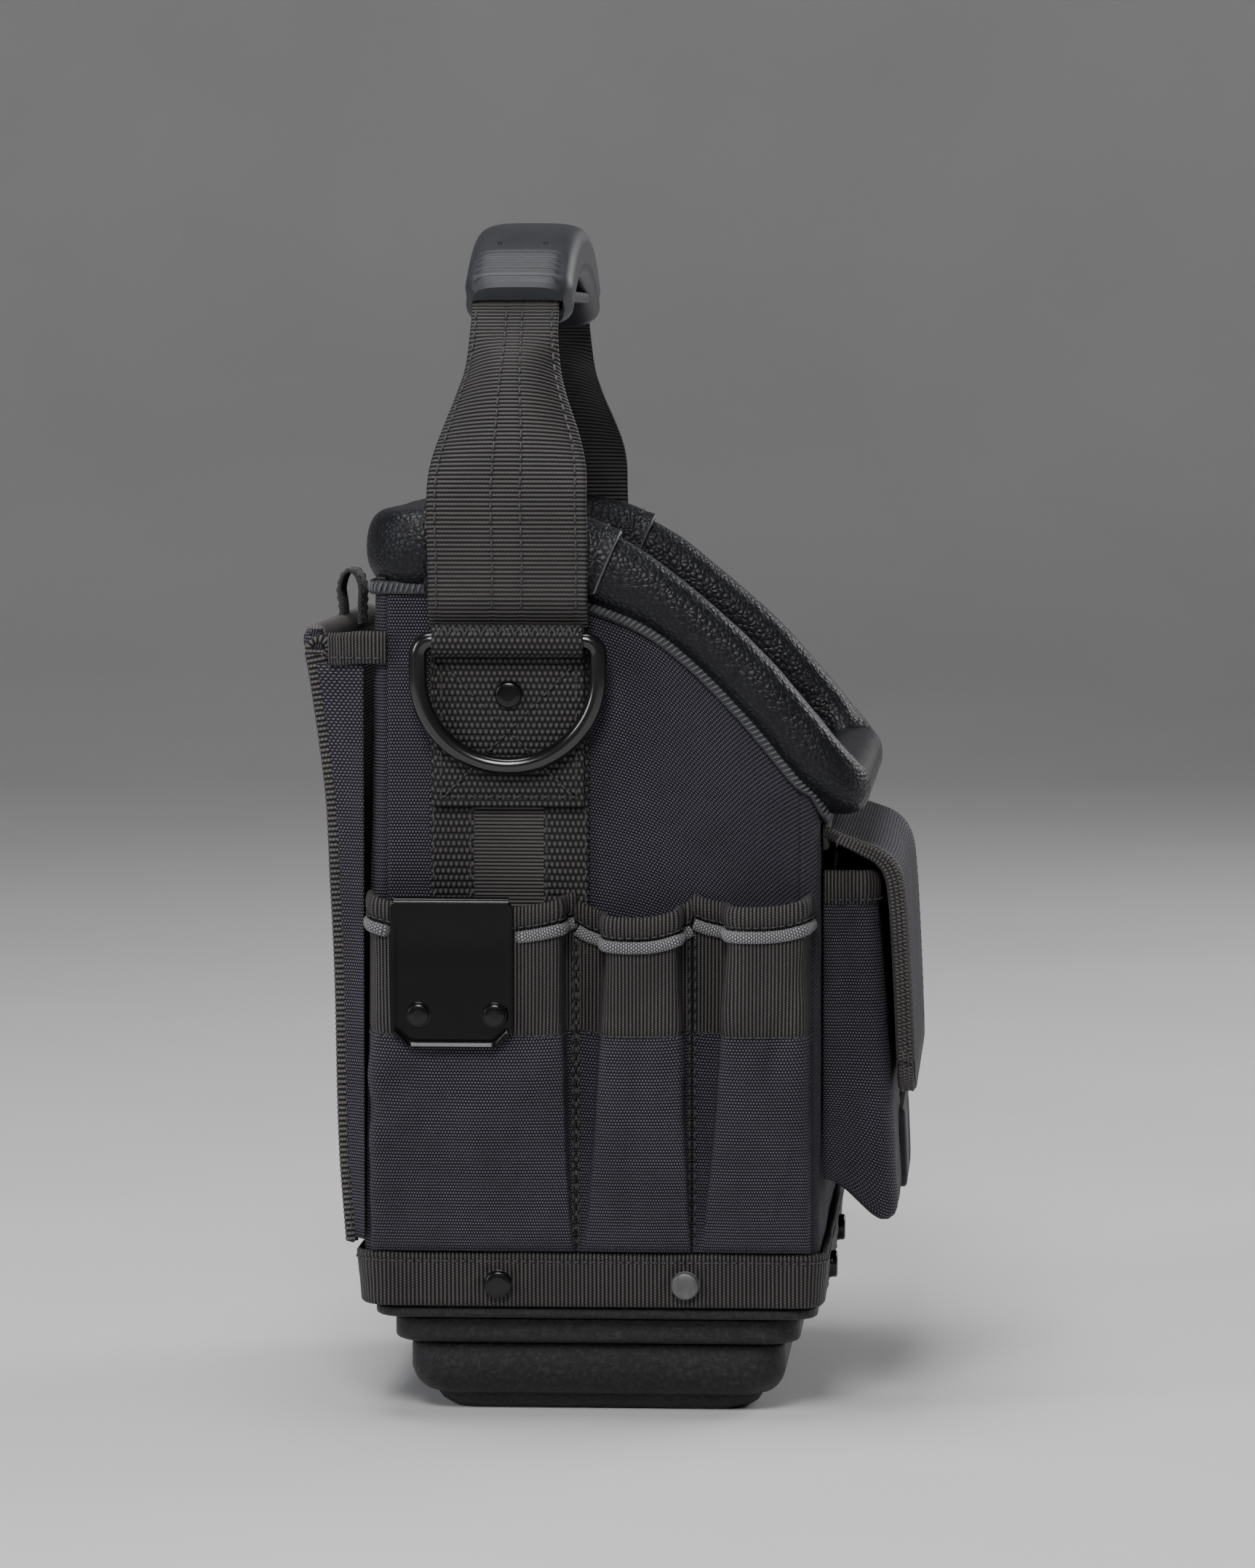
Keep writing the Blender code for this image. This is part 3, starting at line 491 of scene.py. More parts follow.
M["band_h"] = cloth("back_edge_tape", mul(WEB_C, 1.7), "knot", 1.1, 1.7, 0.35, gap_shade=0.08, rough=0.6, sheen=0.06, top_highlight=2.2)
M["tape"] = cloth("hang_loop_tape", (0.040, 0.040, 0.043), "bead", 0.7, 0.7, 0.2, gap_shade=0.4, rough=0.8, sheen=0.2)
M["piping"] = cloth("piping_tape", (0.15, 0.148, 0.155), "bead", 0.8, 0.8, 0.2, gap_shade=0.35, rough=0.7, sheen=0.15, top_highlight=1.3, fibre_glint=0.12)
M["lining"] = cloth("lining_fabric", (0.062, 0.062, 0.070), "bead", 0.5, 0.5, 0.1, gap_shade=0.55, rough=0.85, sheen=0.2)


def thread(name, colour):
    m = Mat(name, rough=0.5, specular=0.5, sheen=0.1)
    n = m.noise(2600, 2.0)
    return m.done(m.ramp(n, [(0.3, mul(colour, 0.55)), (0.7, mul(colour, 1.4))]), None, m.bump(n, 0.06))


M["thread"] = thread("black_thread", (0.030, 0.029, 0.030))
M["thread_light"] = thread("edge_thread", (0.075, 0.077, 0.085))


def leather_material():
    m = Mat("pebbled_leather", rough=0.42, specular=0.24, coat=0.0, coat_rough=0.3)
    where = m.place()
    wob = m.node("ShaderNodeTexNoise")
    wob.inputs["Scale"].default_value = 260
    wob.inputs["Detail"].default_value = 2
    m.link(where, wob.inputs["Vector"])
    add = m.node("ShaderNodeVectorMath", operation="MULTIPLY_ADD")
    m.link(wob.outputs[1], add.inputs[0])
    add.inputs[1].default_value = (0.0012, 0.0012, 0.0012)
    m.link(where, add.inputs[2])
    vor = m.node("ShaderNodeTexVoronoi", feature="SMOOTH_F1")
    vor.inputs["Scale"].default_value = 520
    vor.inputs["Smoothness"].default_value = 0.35
    m.link(add.outputs[0], vor.inputs["Vector"])
    edge = m.node("ShaderNodeTexVoronoi", feature="DISTANCE_TO_EDGE")
    edge.inputs["Scale"].default_value = 520
    m.link(add.outputs[0], edge.inputs["Vector"])
    pebble = m.math("POWER", m.math("MULTIPLY", edge.outputs[0], 2.6, clamp=True), 0.55)
    dome = m.math("SUBTRACT", 1.0, m.math("MULTIPLY", vor.outputs[0], 1.1))
    height = m.math("MULTIPLY_ADD", dome, 0.5, m.math("MULTIPLY", pebble, 0.5))
    pores = m.noise(3000, 2.0, 0.6, where=where)
    height = m.math("MULTIPLY_ADD", pores, 0.07, height)
    drift = m.noise(30, 4.0, where=where)
    # Painted shade: the colour darkens towards the creases between the pebbles.
    c = m.ramp(pebble, [(0.0, (0.002, 0.002, 0.0024)), (0.4, (0.007, 0.0072, 0.009)), (1.0, (0.0125, 0.013, 0.017))])
    c = m.mix(0.4, c, m.ramp(drift, [(0.3, (0.6, 0.6, 0.6)), (0.7, (1.3, 1.3, 1.35))]), "MULTIPLY")
    r = m.math("MULTIPLY_ADD", pebble, -0.06, m.math("MULTIPLY_ADD", drift, 0.1, 0.36))
    return m.done(c, r, m.bump(height, 0.26))


M["leather"] = leather_material()


def edge_leather():
    m = Mat("leather_hem", rough=0.5, specular=0.5)
    n = m.noise(900, 3.0)
    return m.done(m.ramp(n, [(0.3, (0.010, 0.0105, 0.012)), (0.7, (0.028, 0.029, 0.035))]), None, m.bump(n, 0.15))


M["hem"] = edge_leather()


def plastic_material():
    m = Mat("grained_plastic", rough=0.5, specular=0.3)
    n = m.noise(620, 4.0, 0.7)
    fine = m.noise(2100, 2.0, 0.6)
    drift = m.noise(22, 4.0)
    h = m.math("MULTIPLY_ADD", fine, 0.35, n)
    c = m.ramp(n, [(0.32, (0.006, 0.006, 0.0068)), (0.5, (0.013, 0.0128, 0.0142)), (0.72, (0.034, 0.033, 0.036))])
    c = m.mix(0.4, c, m.ramp(drift, [(0.3, (0.7, 0.7, 0.7)), (0.7, (1.3, 1.3, 1.3))]), "MULTIPLY")
    r = m.math("MULTIPLY_ADD", n, 0.25, 0.36)
    return m.done(c, r, m.bump(h, 0.5))


M["plastic"] = plastic_material()


def metal_material(name, colour, rough, metallic=0.6, coat=0.25, scratch=0.12, spec=0.4):
    m = Mat(name, rough=rough, metallic=metallic, specular=spec, coat=coat, coat_rough=0.22)
    n = m.noise(140, 5.0, 0.65)
    fine = m.noise(2400, 2.0)
    c = m.ramp(n, [(0.3, mul(colour, 0.75)), (0.7, mul(colour, 1.35))])
    r = m.math("MULTIPLY_ADD", n, scratch, rough - scratch / 2, clamp=True)
    return m.done(c, r, m.bump(fine, 0.02))


M["metal"] = metal_material("black_metal", (0.004, 0.004, 0.0045), 0.2, metallic=0.0, coat=0.0, spec=0.35)
M["ring"] = metal_material("gloss_black_wire", (0.004, 0.004, 0.0045), 0.14, metallic=0.0, coat=0.6)
M["clip"] = metal_material("satin_black_plate", (0.0012, 0.0012, 0.0014), 0.2, metallic=0.0, coat=0.0, scratch=0.05, spec=0.2)
M["worn"] = metal_material("worn_rivet", (0.115, 0.113, 0.115), 0.45, 0.6, coat=0.0, scratch=0.25)


def rubber_material():
    m = Mat("soft_rubber", rough=0.34, specular=0.5)
    n = m.noise(2600, 3.0, 0.6)
    drift = m.noise(40, 4.0)
    c = m.ramp(drift, [(0.3, (0.015, 0.016, 0.020)), (0.7, (0.024, 0.025, 0.031))])
    r = m.math("MULTIPLY_ADD", drift, 0.16, 0.38)
    return m.done(c, r, m.bump(n, 0.05))


M["rubber"] = rubber_material()


def badge_material():
    m = Mat("badge_rubber", rough=0.55, specular=0.22)
    n = m.noise(1800, 3.0)
    return m.done(m.ramp(n, [(0.3, (0.030, 0.030, 0.033)), (0.7, (0.048, 0.048, 0.052))]), None, m.bump(n, 0.08))


M["badge"] = badge_material()
M["web_side"] = cloth("side_webbing", WEB_C, "bead", 1.7, 2.2, 0.22, gap_shade=0.06, rough=0.5, sheen=0.04, top_highlight=2.0, specular=0.22)
M["band_flap"] = cloth("flap_edge_tape", mul(WEB_C, 1.3), "knot", 0.8, 1.13, 0.25, gap_shade=0.08, rough=0.55, sheen=0.04, top_highlight=2.3, specular=0.2)
M["hem_cord"] = cloth("flap_edge_rows", mul(WEB_C, 2.0), "knot", 0.7, 1.2, 0.2, gap_shade=0.3, rough=0.68, sheen=0.1, top_highlight=1.6)
# Near-black cloth for the sheet in the front pocket's mouth: painted shade.
M["lining_dark"] = cloth("pouch_mouth_painted_shade", (0.016, 0.016, 0.018), "bead", 0.6, 0.6, 0.1, gap_shade=0.4, rough=0.85, sheen=0.05)


# ---------------------------------------------------------------- shapes shared with the CAD
# Moulded base: height and half sizes of each step, and how far in the flat underside lies
MAIN_TOP, TIER_TOP, LIP_TOP = 23.0, 31.8, 36.2
FOOT_INSET = 13.3
MAIN_X, MAIN_Y = 84.6, 60.8
TIER_X, TIER_Y = 89.4, 65.6
LIP_X, LIP_Y = 95.1, 71.4
TRAY_FLOOR = 5.0
UPSTAND_TOP = 52.0

# Fabric body
WALL = 4.0
BODY_X = 97.0  # outer half width
BODY_FRONT = -72.5
SEAM_FRONT = -65.8
SEAM_REAR = 66.4
REAR_LOW, REAR_HIGH = 75.3, 71.0  # outer rear face at the band and under the collar
WALL_BOTTOM, BAND_TOP, REAR_TOP = LIP_TOP + GAP, 54.5, 268.2
FRONT_TOP = 195.6
TUCK = 1.4  # how far the wall narrows where it meets the base

# Padded leather collar round the mouth
COLLAR_X = 95.8
COLLAR_T = 18.0
COLLAR_BACK_Y, COLLAR_BACK_Z = 65.0, 280.7
COLLAR_FRONT_Y, COLLAR_FRONT_Z = -78.3, 204.0
COLLAR_CORNER = 9.5
COLLAR_TALL, COLLAR_SLIM = 25.0, 18.2
SLOPE_START = 34.0  # where the side of the mouth starts to drop

# Webbing, D-rings and handle
WEB = 50.8
STRAP_Y = 27.0
WEB_T = 1.7
PATCH_D0, PATCH_D1 = 99.3, 102.3
PATCH_LOW = 198.0
BAR_D, BAR_Z = 105.5, 251.2
WIRE_R = 2.9
RING_R = 28.75  # centre line radius of the round part of the D
RING_C = 240.0
SWING_Z = 282.5
STRAP_D = 106.9
SADDLE_LOW = 265.5
STRAP_T = 2.5
GRIP_HALF = 71.5
GRIP_W = 35.0
GRIP_T = 19.0
TOP_Z = 385.3

# Side pockets
POCKET_D = 99.3
POCKET_BULGE = 13.7
POCKET_LOW = 55.0
POCKET_CLOTH = 2.2
POCKET_BACK = 1.2

# Rear panel, front pocket and flap
BACK_X = 90.0
FRONT_X = 86.0
FRONT_D = -72.9
FLAP_X = 90.0
FLAP_AXIS_Y, FLAP_AXIS_Z = -77.5, 187.5

def tuck(z):
    return TUCK * max(0.0, (BAND_TOP - z) / (BAND_TOP - WALL_BOTTOM))


def rear_y(z):
    t = (z - BAND_TOP) / (REAR_TOP - BAND_TOP)
    return lerp(REAR_LOW, REAR_HIGH, max(0.0, t)) - tuck(z)


def front_y(z):
    return BODY_FRONT + tuck(z)


def corner_point(z, out, rear, a):
    """A point of the wall's rounded corner, `out` mm outside its outer face; a is 0 at the side, 90 at the end."""
    seam = SEAM_REAR if rear else SEAM_FRONT
    end = rear_y(z) if rear else front_y(z)
    ry = abs(end - seam) + out
    rx = (8.9 if rear else 6.7) + out
    hx = BODY_X - tuck(z) + out
    a = math.radians(a)
    return hx - rx + rx * math.cos(a), seam + math.copysign(
        max(0.45, ry) * math.sin(a), end - seam
    )


def collar_curve(t):
    """Side view centre line of the mouth's slope, as (y, z)."""
    p = (
        (SLOPE_START, COLLAR_BACK_Z),
        (-8.0, COLLAR_BACK_Z),
        (-39.0, 257.0),
        (COLLAR_FRONT_Y, COLLAR_FRONT_Z),
    )
    u = 1 - t
    w = (u * u * u, 3 * u * u * t, 3 * u * t * t, t * t * t)
    return tuple(sum(w[i] * p[i][k] for i in range(4)) for k in (0, 1))


CURVE = sorted(collar_curve(i / 60) for i in range(61))


def collar_z(y):
    return table(CURVE, y)


def collar_slope(y):
    d = 0.5
    return math.atan2(collar_z(y + d) - collar_z(y - d), 2 * d)


def collar_h(y):
    return lerp(COLLAR_SLIM, COLLAR_TALL, smooth((y + 33.0) / 40.0))


def collar_low():
    points = []
    for i in range(121):
        y = lerp(COLLAR_FRONT_Y, 66.0, i / 120)
        a, h = collar_slope(y), collar_h(y) / 2 + 0.5
        points.append((y + h * math.sin(a), collar_z(y) - h * math.cos(a)))
    return sorted(points)


LOW = collar_low()


# ---------------------------------------------------------------- collar
def collar_station(x, y, z, tangent, width, height, grow=0.0, angles=None):
    t = Vector(tangent).normalized()
    w = t.cross(Vector((0, 0, 1))).normalized()
    n = w.cross(t)
    if n.z < 0:
        n = -n
    pts = []
    for a in angles:
        a = math.radians(a)
        c, q = math.cos(a), math.sin(a)
        p, r = abs(c) ** 0.8, abs(q) ** 0.8
        off = w * math.copysign((width / 2 + grow) * p, c) + n * math.copysign(
            (height / 2 + grow) * r, q
        )
        pts.append(Vector((x, y, z)) + off)
    return pts


FULL = [360 * k / 28 for k in range(28)]


def side_station(s, y, grow=0.0, angles=FULL):
    a = collar_slope(y)
    return collar_station(
        s * COLLAR_X,
        y,
        collar_z(y),
        (0, -s * math.cos(a), -s * math.sin(a)),
        COLLAR_T,
        collar_h(y),
        grow,
        angles,
    )


def corner_station(s, rear, a, grow=0.0, angles=FULL):
    cx = COLLAR_X - COLLAR_CORNER
    sign = 1 if rear else -1
    cy = (
        COLLAR_BACK_Y - COLLAR_CORNER
        if rear
        else COLLAR_FRONT_Y + COLLAR_CORNER
    )
    r = math.radians(a)
    x, y = cx + COLLAR_CORNER * math.cos(r), cy + sign * COLLAR_CORNER * math.sin(r)
    # heading that keeps the same handedness all the way round the mouth
    tx, ty = -math.sin(r), sign * math.cos(r)
    slope = 0.0 if rear else math.tan(collar_slope(y)) * ty * math.cos(r)
    heading = Vector((s * tx, ty, slope)) * (-s if rear else s) * (-1 if rear else 1)
    if not rear:
        heading = Vector((s * tx, ty, slope)) * s
    h = collar_h(y)
    t = COLLAR_T if rear else lerp(COLLAR_T, COLLAR_T + 1.6, a / 90)
    return collar_station(s * x, y, collar_z(y), heading, t, h, grow, angles)


ARCH = [(STRAP_D + STRAP_T / 2, SWING_Z), (107.6, 296.0), (104.6, 309.8)]
ARCH += [(100.2, 320.0), (95.0, 329.8), (88.2, 339.4), (79.8, 347.8)]
GRIP_MID_Z = TOP_Z - GRIP_T / 2
GRIP_END_Z = 357.4


def grip_z(x):
    """Height of the strap inside the grip."""
    return GRIP_MID_Z - (GRIP_MID_Z - GRIP_END_Z) * (abs(x) / GRIP_HALF) ** 2.4


def strap_width(z):
    return lerp(WEB, 28.0, smooth((z - 300.0) / 52.0))


BACK_OUT = [
    (56.0, 80.0),
    (88.0, 82.3),
    (144.0, 83.6),
    (172.0, 84.9),
    (200.0, 86.3),
    (225.0, 89.4),
    (245.0, 92.6),
    (251.0, 94.6),
    (254.0, 92.8),
]


def back_out(z):
    return curve_table(BACK_OUT, z)


def back_in(z):
    return max(rear_y(z) + 0.5, back_out(z) - table([(56, 4.0), (100, 6.6), (246, 7.4), (254, 4.6)], z))


FRONT_PROFILE = [(63.0, -95.0), (66.0, -96.6), (73.0, -97.2), (106.0, -95.6)]
FRONT_PROFILE += [(129.0, -93.9), (165.0, -91.2), (177.0, -90.2)]


def pocket_front(z):
    return curve_table(FRONT_PROFILE, z)


def front_ring(zf, zb, inset, back, seg=3):
    y0, y1 = FRONT_D - back, pocket_front(zf) + inset
    hx, r = FRONT_X - inset, 7.0 - min(inset, 2.5)
    pts = [(-hx, y0)]
    for s, order in ((-1, range(seg + 1)), (1, range(seg, -1, -1))):
        for k in order:
            a = math.radians(90 * k / seg)
            pts.append((s * (hx - r + r * math.cos(a)), y1 + r - r * math.sin(a)))
    pts.append((hx, y0))
    return [(x, y, lerp(zb, zf, (y - y0) / (y1 - y0))) for x, y in pts]


FP_RIM = 176.6

FLAP = [
    (-78.3, 187.1),
    (-85.2, 184.2),
    (-91.0, 181.4),
    (-94.9, 176.6),
    (-96.7, 167.2),
    (-98.3, 141.5),
    (-99.9, 105.0),
]
RUN = [0.0]
for p, q in zip(FLAP, FLAP[1:]):
    RUN.append(RUN[-1] + math.dist(p, q))


def flap_at(s):
    y = table([(r, p[0]) for r, p in zip(RUN, FLAP)], s)
    z = table([(r, p[1]) for r, p in zip(RUN, FLAP)], s)
    return y, z




# ---------------------------------------------------------------- body wall
def wall_stations():
    st = []

    def side(s, ys):
        st.extend(("side", s, y) for y in ys)

    def corner(s, rear, angles):
        st.extend(("corner", s, rear, a) for a in angles)

    seam_f, seam_r = SEAM_FRONT, SEAM_REAR
    up = [seam_f + d for d in (0.15, 0.6, 1.1, 1.7)] + steps(seam_f + 3, seam_r - 3, 2.4)
    up += [seam_r - d for d in (1.7, 1.1, 0.6, 0.15)]
    arc = [0, 8, 18, 30, 45, 60, 75, 90]
    side(1, up)
    corner(1, True, arc)
    st.extend(("end", True, x) for x in steps(86.0, -86.0, 4.0))
    corner(-1, True, arc[::-1])
    side(-1, up[::-1])
    corner(-1, False, arc)
    st.extend(("end", False, x) for x in steps(-88.0, 88.0, 4.0))
    corner(1, False, arc[::-1])
    return st


def wall_point(st, z, out):
    if st[0] == "side":
        _, s, y = st
        groove = sum(0.75 * math.exp(-(((y - c) / 0.55) ** 2)) for c in (SEAM_FRONT, SEAM_REAR))
        return Vector((s * (BODY_X - tuck(z) + out - groove * (out > -1)), y, z))
    if st[0] == "corner":
        _, s, rear, a = st
        x, y = corner_point(z, out - (0.7 * math.exp(-((a / 6) ** 2)) if out > -1 else 0), rear, a)
        return Vector((s * x, y, z))
    _, rear, x = st
    return Vector((x, rear_y(z) + out if rear else front_y(z) - out, z))


def wall_top(st):
    if st[0] == "side":
        return table(LOW, st[2]) + 5.0
    if st[0] == "corner":
        _, s, rear, a = st
        if rear:
            return REAR_TOP + 4.0
        return lerp(table(LOW, SEAM_FRONT) + 4.0, FRONT_TOP + 3.0, min(1.0, a / 90 * 1.3))
    return REAR_TOP + 4.0 if st[1] else FRONT_TOP + 3.0


def drape(st, z):
    """How far the cloth sinks in from its flat wall."""
    p = wall_point(st, z, 0.0)
    soft = 0.45 * (wave(p, 46, 3.1) - 0.6) + 0.18 * (wave(p, 17, 8.7) - 0.5)
    if st[0] == "side" and abs(st[2] - STRAP_Y) < WEB / 2 + 3:
        soft *= 0.3
    return min(0.0, soft)


rows = []
for st in wall_stations():
    top = wall_top(st)
    zs = steps(WALL_BOTTOM, top, 3.4) if False else [lerp(WALL_BOTTOM, top, i / 64) for i in range(65)]
    outer = [wall_point(st, z, drape(st, z)) for z in zs]
    inner = [wall_point(st, z, -WALL + 0.5 * wave((st[1], z, 7), 30)) for z in [lerp(top, WALL_BOTTOM, i / 16) for i in range(17)]]
    rows.append(outer + inner)
us = [lerp(WALL_BOTTOM, 268.0, i / 64) for i in range(65)]
us += [us[64] + 4 + 232.0 * i / 16 for i in range(17)]
us.append(us[-1] + 4)
body_wall = piece("body_wall", rows, [M["nylon"], M["lining"]], close=True,
                  us=us, swap=True, mat_of=lambda i, k: 1 if k >= 65 else 0, angle=60)
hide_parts("side_panel_left", "side_panel_right", "front_panel", "rear_panel")


# ---------------------------------------------------------------- leather collar
def collar_path():
    """Stations round the mouth, anticlockwise from above: (point, heading, width, height)."""
    out = []
    cx, cr, cf = COLLAR_X - COLLAR_CORNER, COLLAR_BACK_Y - COLLAR_CORNER, COLLAR_FRONT_Y + COLLAR_CORNER
    ys = steps(-66.5, 54.0, 1.9)
    arc = [math.radians(a) for a in (12, 24, 36, 48, 60, 72, 84)]

    def side(s, y):
        a = collar_slope(y)
        out.append((Vector((s * COLLAR_X, y, collar_z(y))), Vector((0, s * math.cos(a), s * math.sin(a))), COLLAR_T, collar_h(y)))

    def front(s, r):
        x, y = s * (cx + COLLAR_CORNER * math.cos(r)), cf - COLLAR_CORNER * math.sin(r)
        heading = Vector((math.sin(r), s * math.cos(r), s * math.tan(collar_slope(y)) * math.cos(r)))
        width = lerp(COLLAR_T, COLLAR_T + 1.6, r / (math.pi / 2))
        out.append((Vector((x, y, collar_z(y))), heading, width, collar_h(y)))

    for y in ys:
        side(1, y)
    for r in arc:
        out.append((Vector((cx + COLLAR_CORNER * math.cos(r), cr + COLLAR_CORNER * math.sin(r), COLLAR_BACK_Z)),
                    Vector((-math.sin(r), math.cos(r), 0)), COLLAR_T, COLLAR_TALL))
    for x in steps(cx, -cx, 3.0):
        out.append((Vector((x, COLLAR_BACK_Y, COLLAR_BACK_Z)), Vector((-1, 0, 0)), COLLAR_T, COLLAR_TALL))
    for r in arc:
        out.append((Vector((-cx - COLLAR_CORNER * math.sin(r), cr + COLLAR_CORNER * math.cos(r), COLLAR_BACK_Z)),
                    Vector((-math.cos(r), -math.sin(r), 0)), COLLAR_T, COLLAR_TALL))
    for y in ys[::-1]:
        side(-1, y)
    for r in arc:
        front(-1, r)
    for x in steps(-cx, cx, 3.0):
        out.append((Vector((x, COLLAR_FRONT_Y, COLLAR_FRONT_Z)), Vector((1, 0, 0)), COLLAR_T + 1.6, COLLAR_SLIM))
    for r in arc[::-1]:
        front(1, r)
    return out


def collar_offset(t, width, height, grow, a):
    t = t.normalized()
    w = t.cross(Vector((0, 0, 1))).normalized()
    n = w.cross(t)
    c, q = math.cos(math.radians(a)), math.sin(math.radians(a))
    return w * math.copysign((width / 2 + grow) * abs(c) ** 0.8, c) + n * math.copysign((height / 2 + grow) * abs(q) ** 0.8, q)


PATH = collar_path()
rows = []
for p, t, w, h in PATH:
    ring = []
    for k in range(40):
        a = 360 * k / 40
        o = collar_offset(t, w, h, 0.0, a)
        q = p + o
        puff = 0.35 * wave(q, 21, 1.7) + 0.22 * wave(q, 8.5, 5.2) - 0.35
        crease = -0.55 * max(0.0, wave((q.x * 0.4, q.y * 0.4 + q.z * 0.3, q.z * 0.4), 7.5, 12.0) - 0.28)
        ring.append(p + o * (1 + (puff + crease) / 11.0))
    rows.append(ring)
collar = piece("mouth_collar", rows, M["leather"], close=True)
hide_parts("rim_rear", "rim_front")


def hem_path():
    """Where the collar's lower edge is sewn to the wall, with the outward direction."""
    out = []
    for p, t, w, h in PATH:
        tn = t.normalized()
        o = tn.cross(Vector((0, 0, 1))).normalized()
        n = o.cross(tn)
        q = p - n * (h / 2 + 0.4)
        # back to the wall's own outer face
        if abs(o.x) > 0.9:
            q.x = math.copysign(BODY_X + 0.9, q.x)
        elif o.y > 0.9:
            q.y = rear_y(267) + 0.9
        elif o.y < -0.9:
            q.y = BODY_FRONT - 0.9
        else:
            rear = o.y > 0
            a = math.degrees(math.atan2(abs(o.y), abs(o.x)))
            x, y = corner_point(q.z, 0.9, rear, a)
            q.x, q.y = math.copysign(x, q.x), y
        out.append((q, o, n))
    return out


HEM = hem_path()
rows = []
for q, o, n in HEM:
    ring = []
    for k in range(14):
        a = math.tau * k / 14
        c, s = math.cos(a), math.sin(a)
        ring.append(q + o * (0.95 * math.copysign(abs(c) ** 0.8, c)) + n * (2.3 * math.copysign(abs(s) ** 0.85, s)))
    rows.append(ring)
piece("collar_hem", rows, M["hem"], close=True)

# Overcast thread wound along the hem
parts = []
run, last, count = 0.0, None, 0
for i in range(len(HEM)):
    a, b = HEM[i], HEM[(i + 1) % len(HEM)]
    seg = (b[0] - a[0]).length
    while run <= seg:
        t = run / max(seg, 1e-6)
        q, o, n = a[0].lerp(b[0], t), a[1].lerp(b[1], t).normalized(), a[2].lerp(b[2], t).normalized()
        along = (b[0] - a[0]).normalized()
        pts = []
        for j in range(6):
            s = lerp(-1.0, 1.0, j / 5)
            pts.append(q + n * (1.75 * s) + along * (0.62 * s) + o * (1.05 * math.sqrt(max(0.0, 1 - 0.62 * s * s)) + 0.1))
        parts.append(tube_part(pts, lambda i: (0.2, 0.4, 0.46, 0.46, 0.4, 0.2)[i], 5, 0, 0.8, normal=o))
        run += 1.75
    run -= seg
join_meshes("collar_hem_thread", parts, M["thread_light"])


# ---------------------------------------------------------------- leather pads under the handle straps
for s, label in ((-1, "left"), (1, "right")):
    rows = []
    angles = [-30 + 240 * k / 40 for k in range(41)]
    ys = steps(-3.0, 53.8, 1.4)
    for i, y in enumerate(ys):
        a = collar_slope(y)
        p, t, h = Vector((s * COLLAR_X, y, collar_z(y))), Vector((0, s * math.cos(a), s * math.sin(a))), collar_h(y)
        edge = min(y + 3.0, 53.8 - y)
        roll = 0.35 * math.exp(-((edge / 1.3) ** 2)) - 0.25 * math.exp(-(((edge - 3.2) / 0.8) ** 2))
        outs = [p + collar_offset(t, COLLAR_T, h, GAP + 1.3 + roll + 0.12 * wave((y, q * 0.3, 4), 9), q) for q in angles]
        ins = [p + collar_offset(t, COLLAR_T, h, GAP + 0.2, q) for q in angles]
        low_out = [Vector((outs[0].x, outs[0].y, z)) for z in (SADDLE_LOW, SADDLE_LOW + 0.6, SADDLE_LOW + 2.5, SADDLE_LOW + 5.0)]
        low_out[0].x -= s * 0.4
        low_in = [Vector((ins[0].x, ins[0].y, SADDLE_LOW))]
        rows.append(low_out + outs + ins[::-1] + low_in)
    pad = piece(f"strap_pad_{label}", rows, M["leather"], angle=60)
    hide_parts(f"strap_saddle_{label}")
    parts = []
    for y in (0.4, 50.4):
        a = collar_slope(y)
        p, t, h = Vector((s * COLLAR_X, y, collar_z(y))), Vector((0, s * math.cos(a), s * math.sin(a))), collar_h(y)
        line = [p + collar_offset(t, COLLAR_T, h, GAP + 1.3, q) for q in range(-28, 200, 6)]
        line = [Vector((line[0].x, line[0].y, SADDLE_LOW + 1.5))] + line
        parts += stitches(line, lambda q, p=p: Vector((q.x - p.x, 0, (q.z - p.z) * 0.6)), pitch=3.4, radius=0.36)
    # light rolled edge along the front end of the pad
    y = -3.1
    a = collar_slope(y)
    p, t, h = Vector((s * COLLAR_X, y, collar_z(y))), Vector((0, s * math.cos(a), s * math.sin(a))), collar_h(y)
    line = [p + collar_offset(t, COLLAR_T, h, GAP + 0.75, q) for q in range(-30, 206, 5)]
    line = [Vector((line[0].x, line[0].y, SADDLE_LOW + 0.6))] + line
    parts.append(tube_part(line, 0.62, 8, 1, normal=(0, 1, 0.1)))
    join_meshes(f"strap_pad_thread_{label}", parts, [M["thread"], M["thread_light"]])


# ---------------------------------------------------------------- webbing on the sides
def spline(points, size):
    """Evenly spaced points on a smooth curve through points."""
    pts = [Vector(p) for p in points]
    ext = [pts[0] * 2 - pts[1]] + pts + [pts[-1] * 2 - pts[-2]]
    dense = []
    for i in range(1, len(ext) - 2):
        a, b, c, d = ext[i - 1], ext[i], ext[i + 1], ext[i + 2]
        for k in range(24):
            t = k / 24
            dense.append(0.5 * ((2 * b) + (c - a) * t + (2 * a - 5 * b + 4 * c - d) * t * t + (3 * b - a - 3 * c + d) * t**3))
    dense.append(pts[-1])
    runs = [0.0]
    for a, b in zip(dense, dense[1:]):
        runs.append(runs[-1] + (b - a).length)
    n = max(1, round(runs[-1] / size))
    out, j = [], 0
    for i in range(n + 1):
        r = runs[-1] * i / n
        while j < len(runs) - 2 and runs[j + 1] < r:
            j += 1
        out.append(dense[j].lerp(dense[j + 1], clamp((r - runs[j]) / max(1e-9, runs[j + 1] - runs[j]))))
    return out


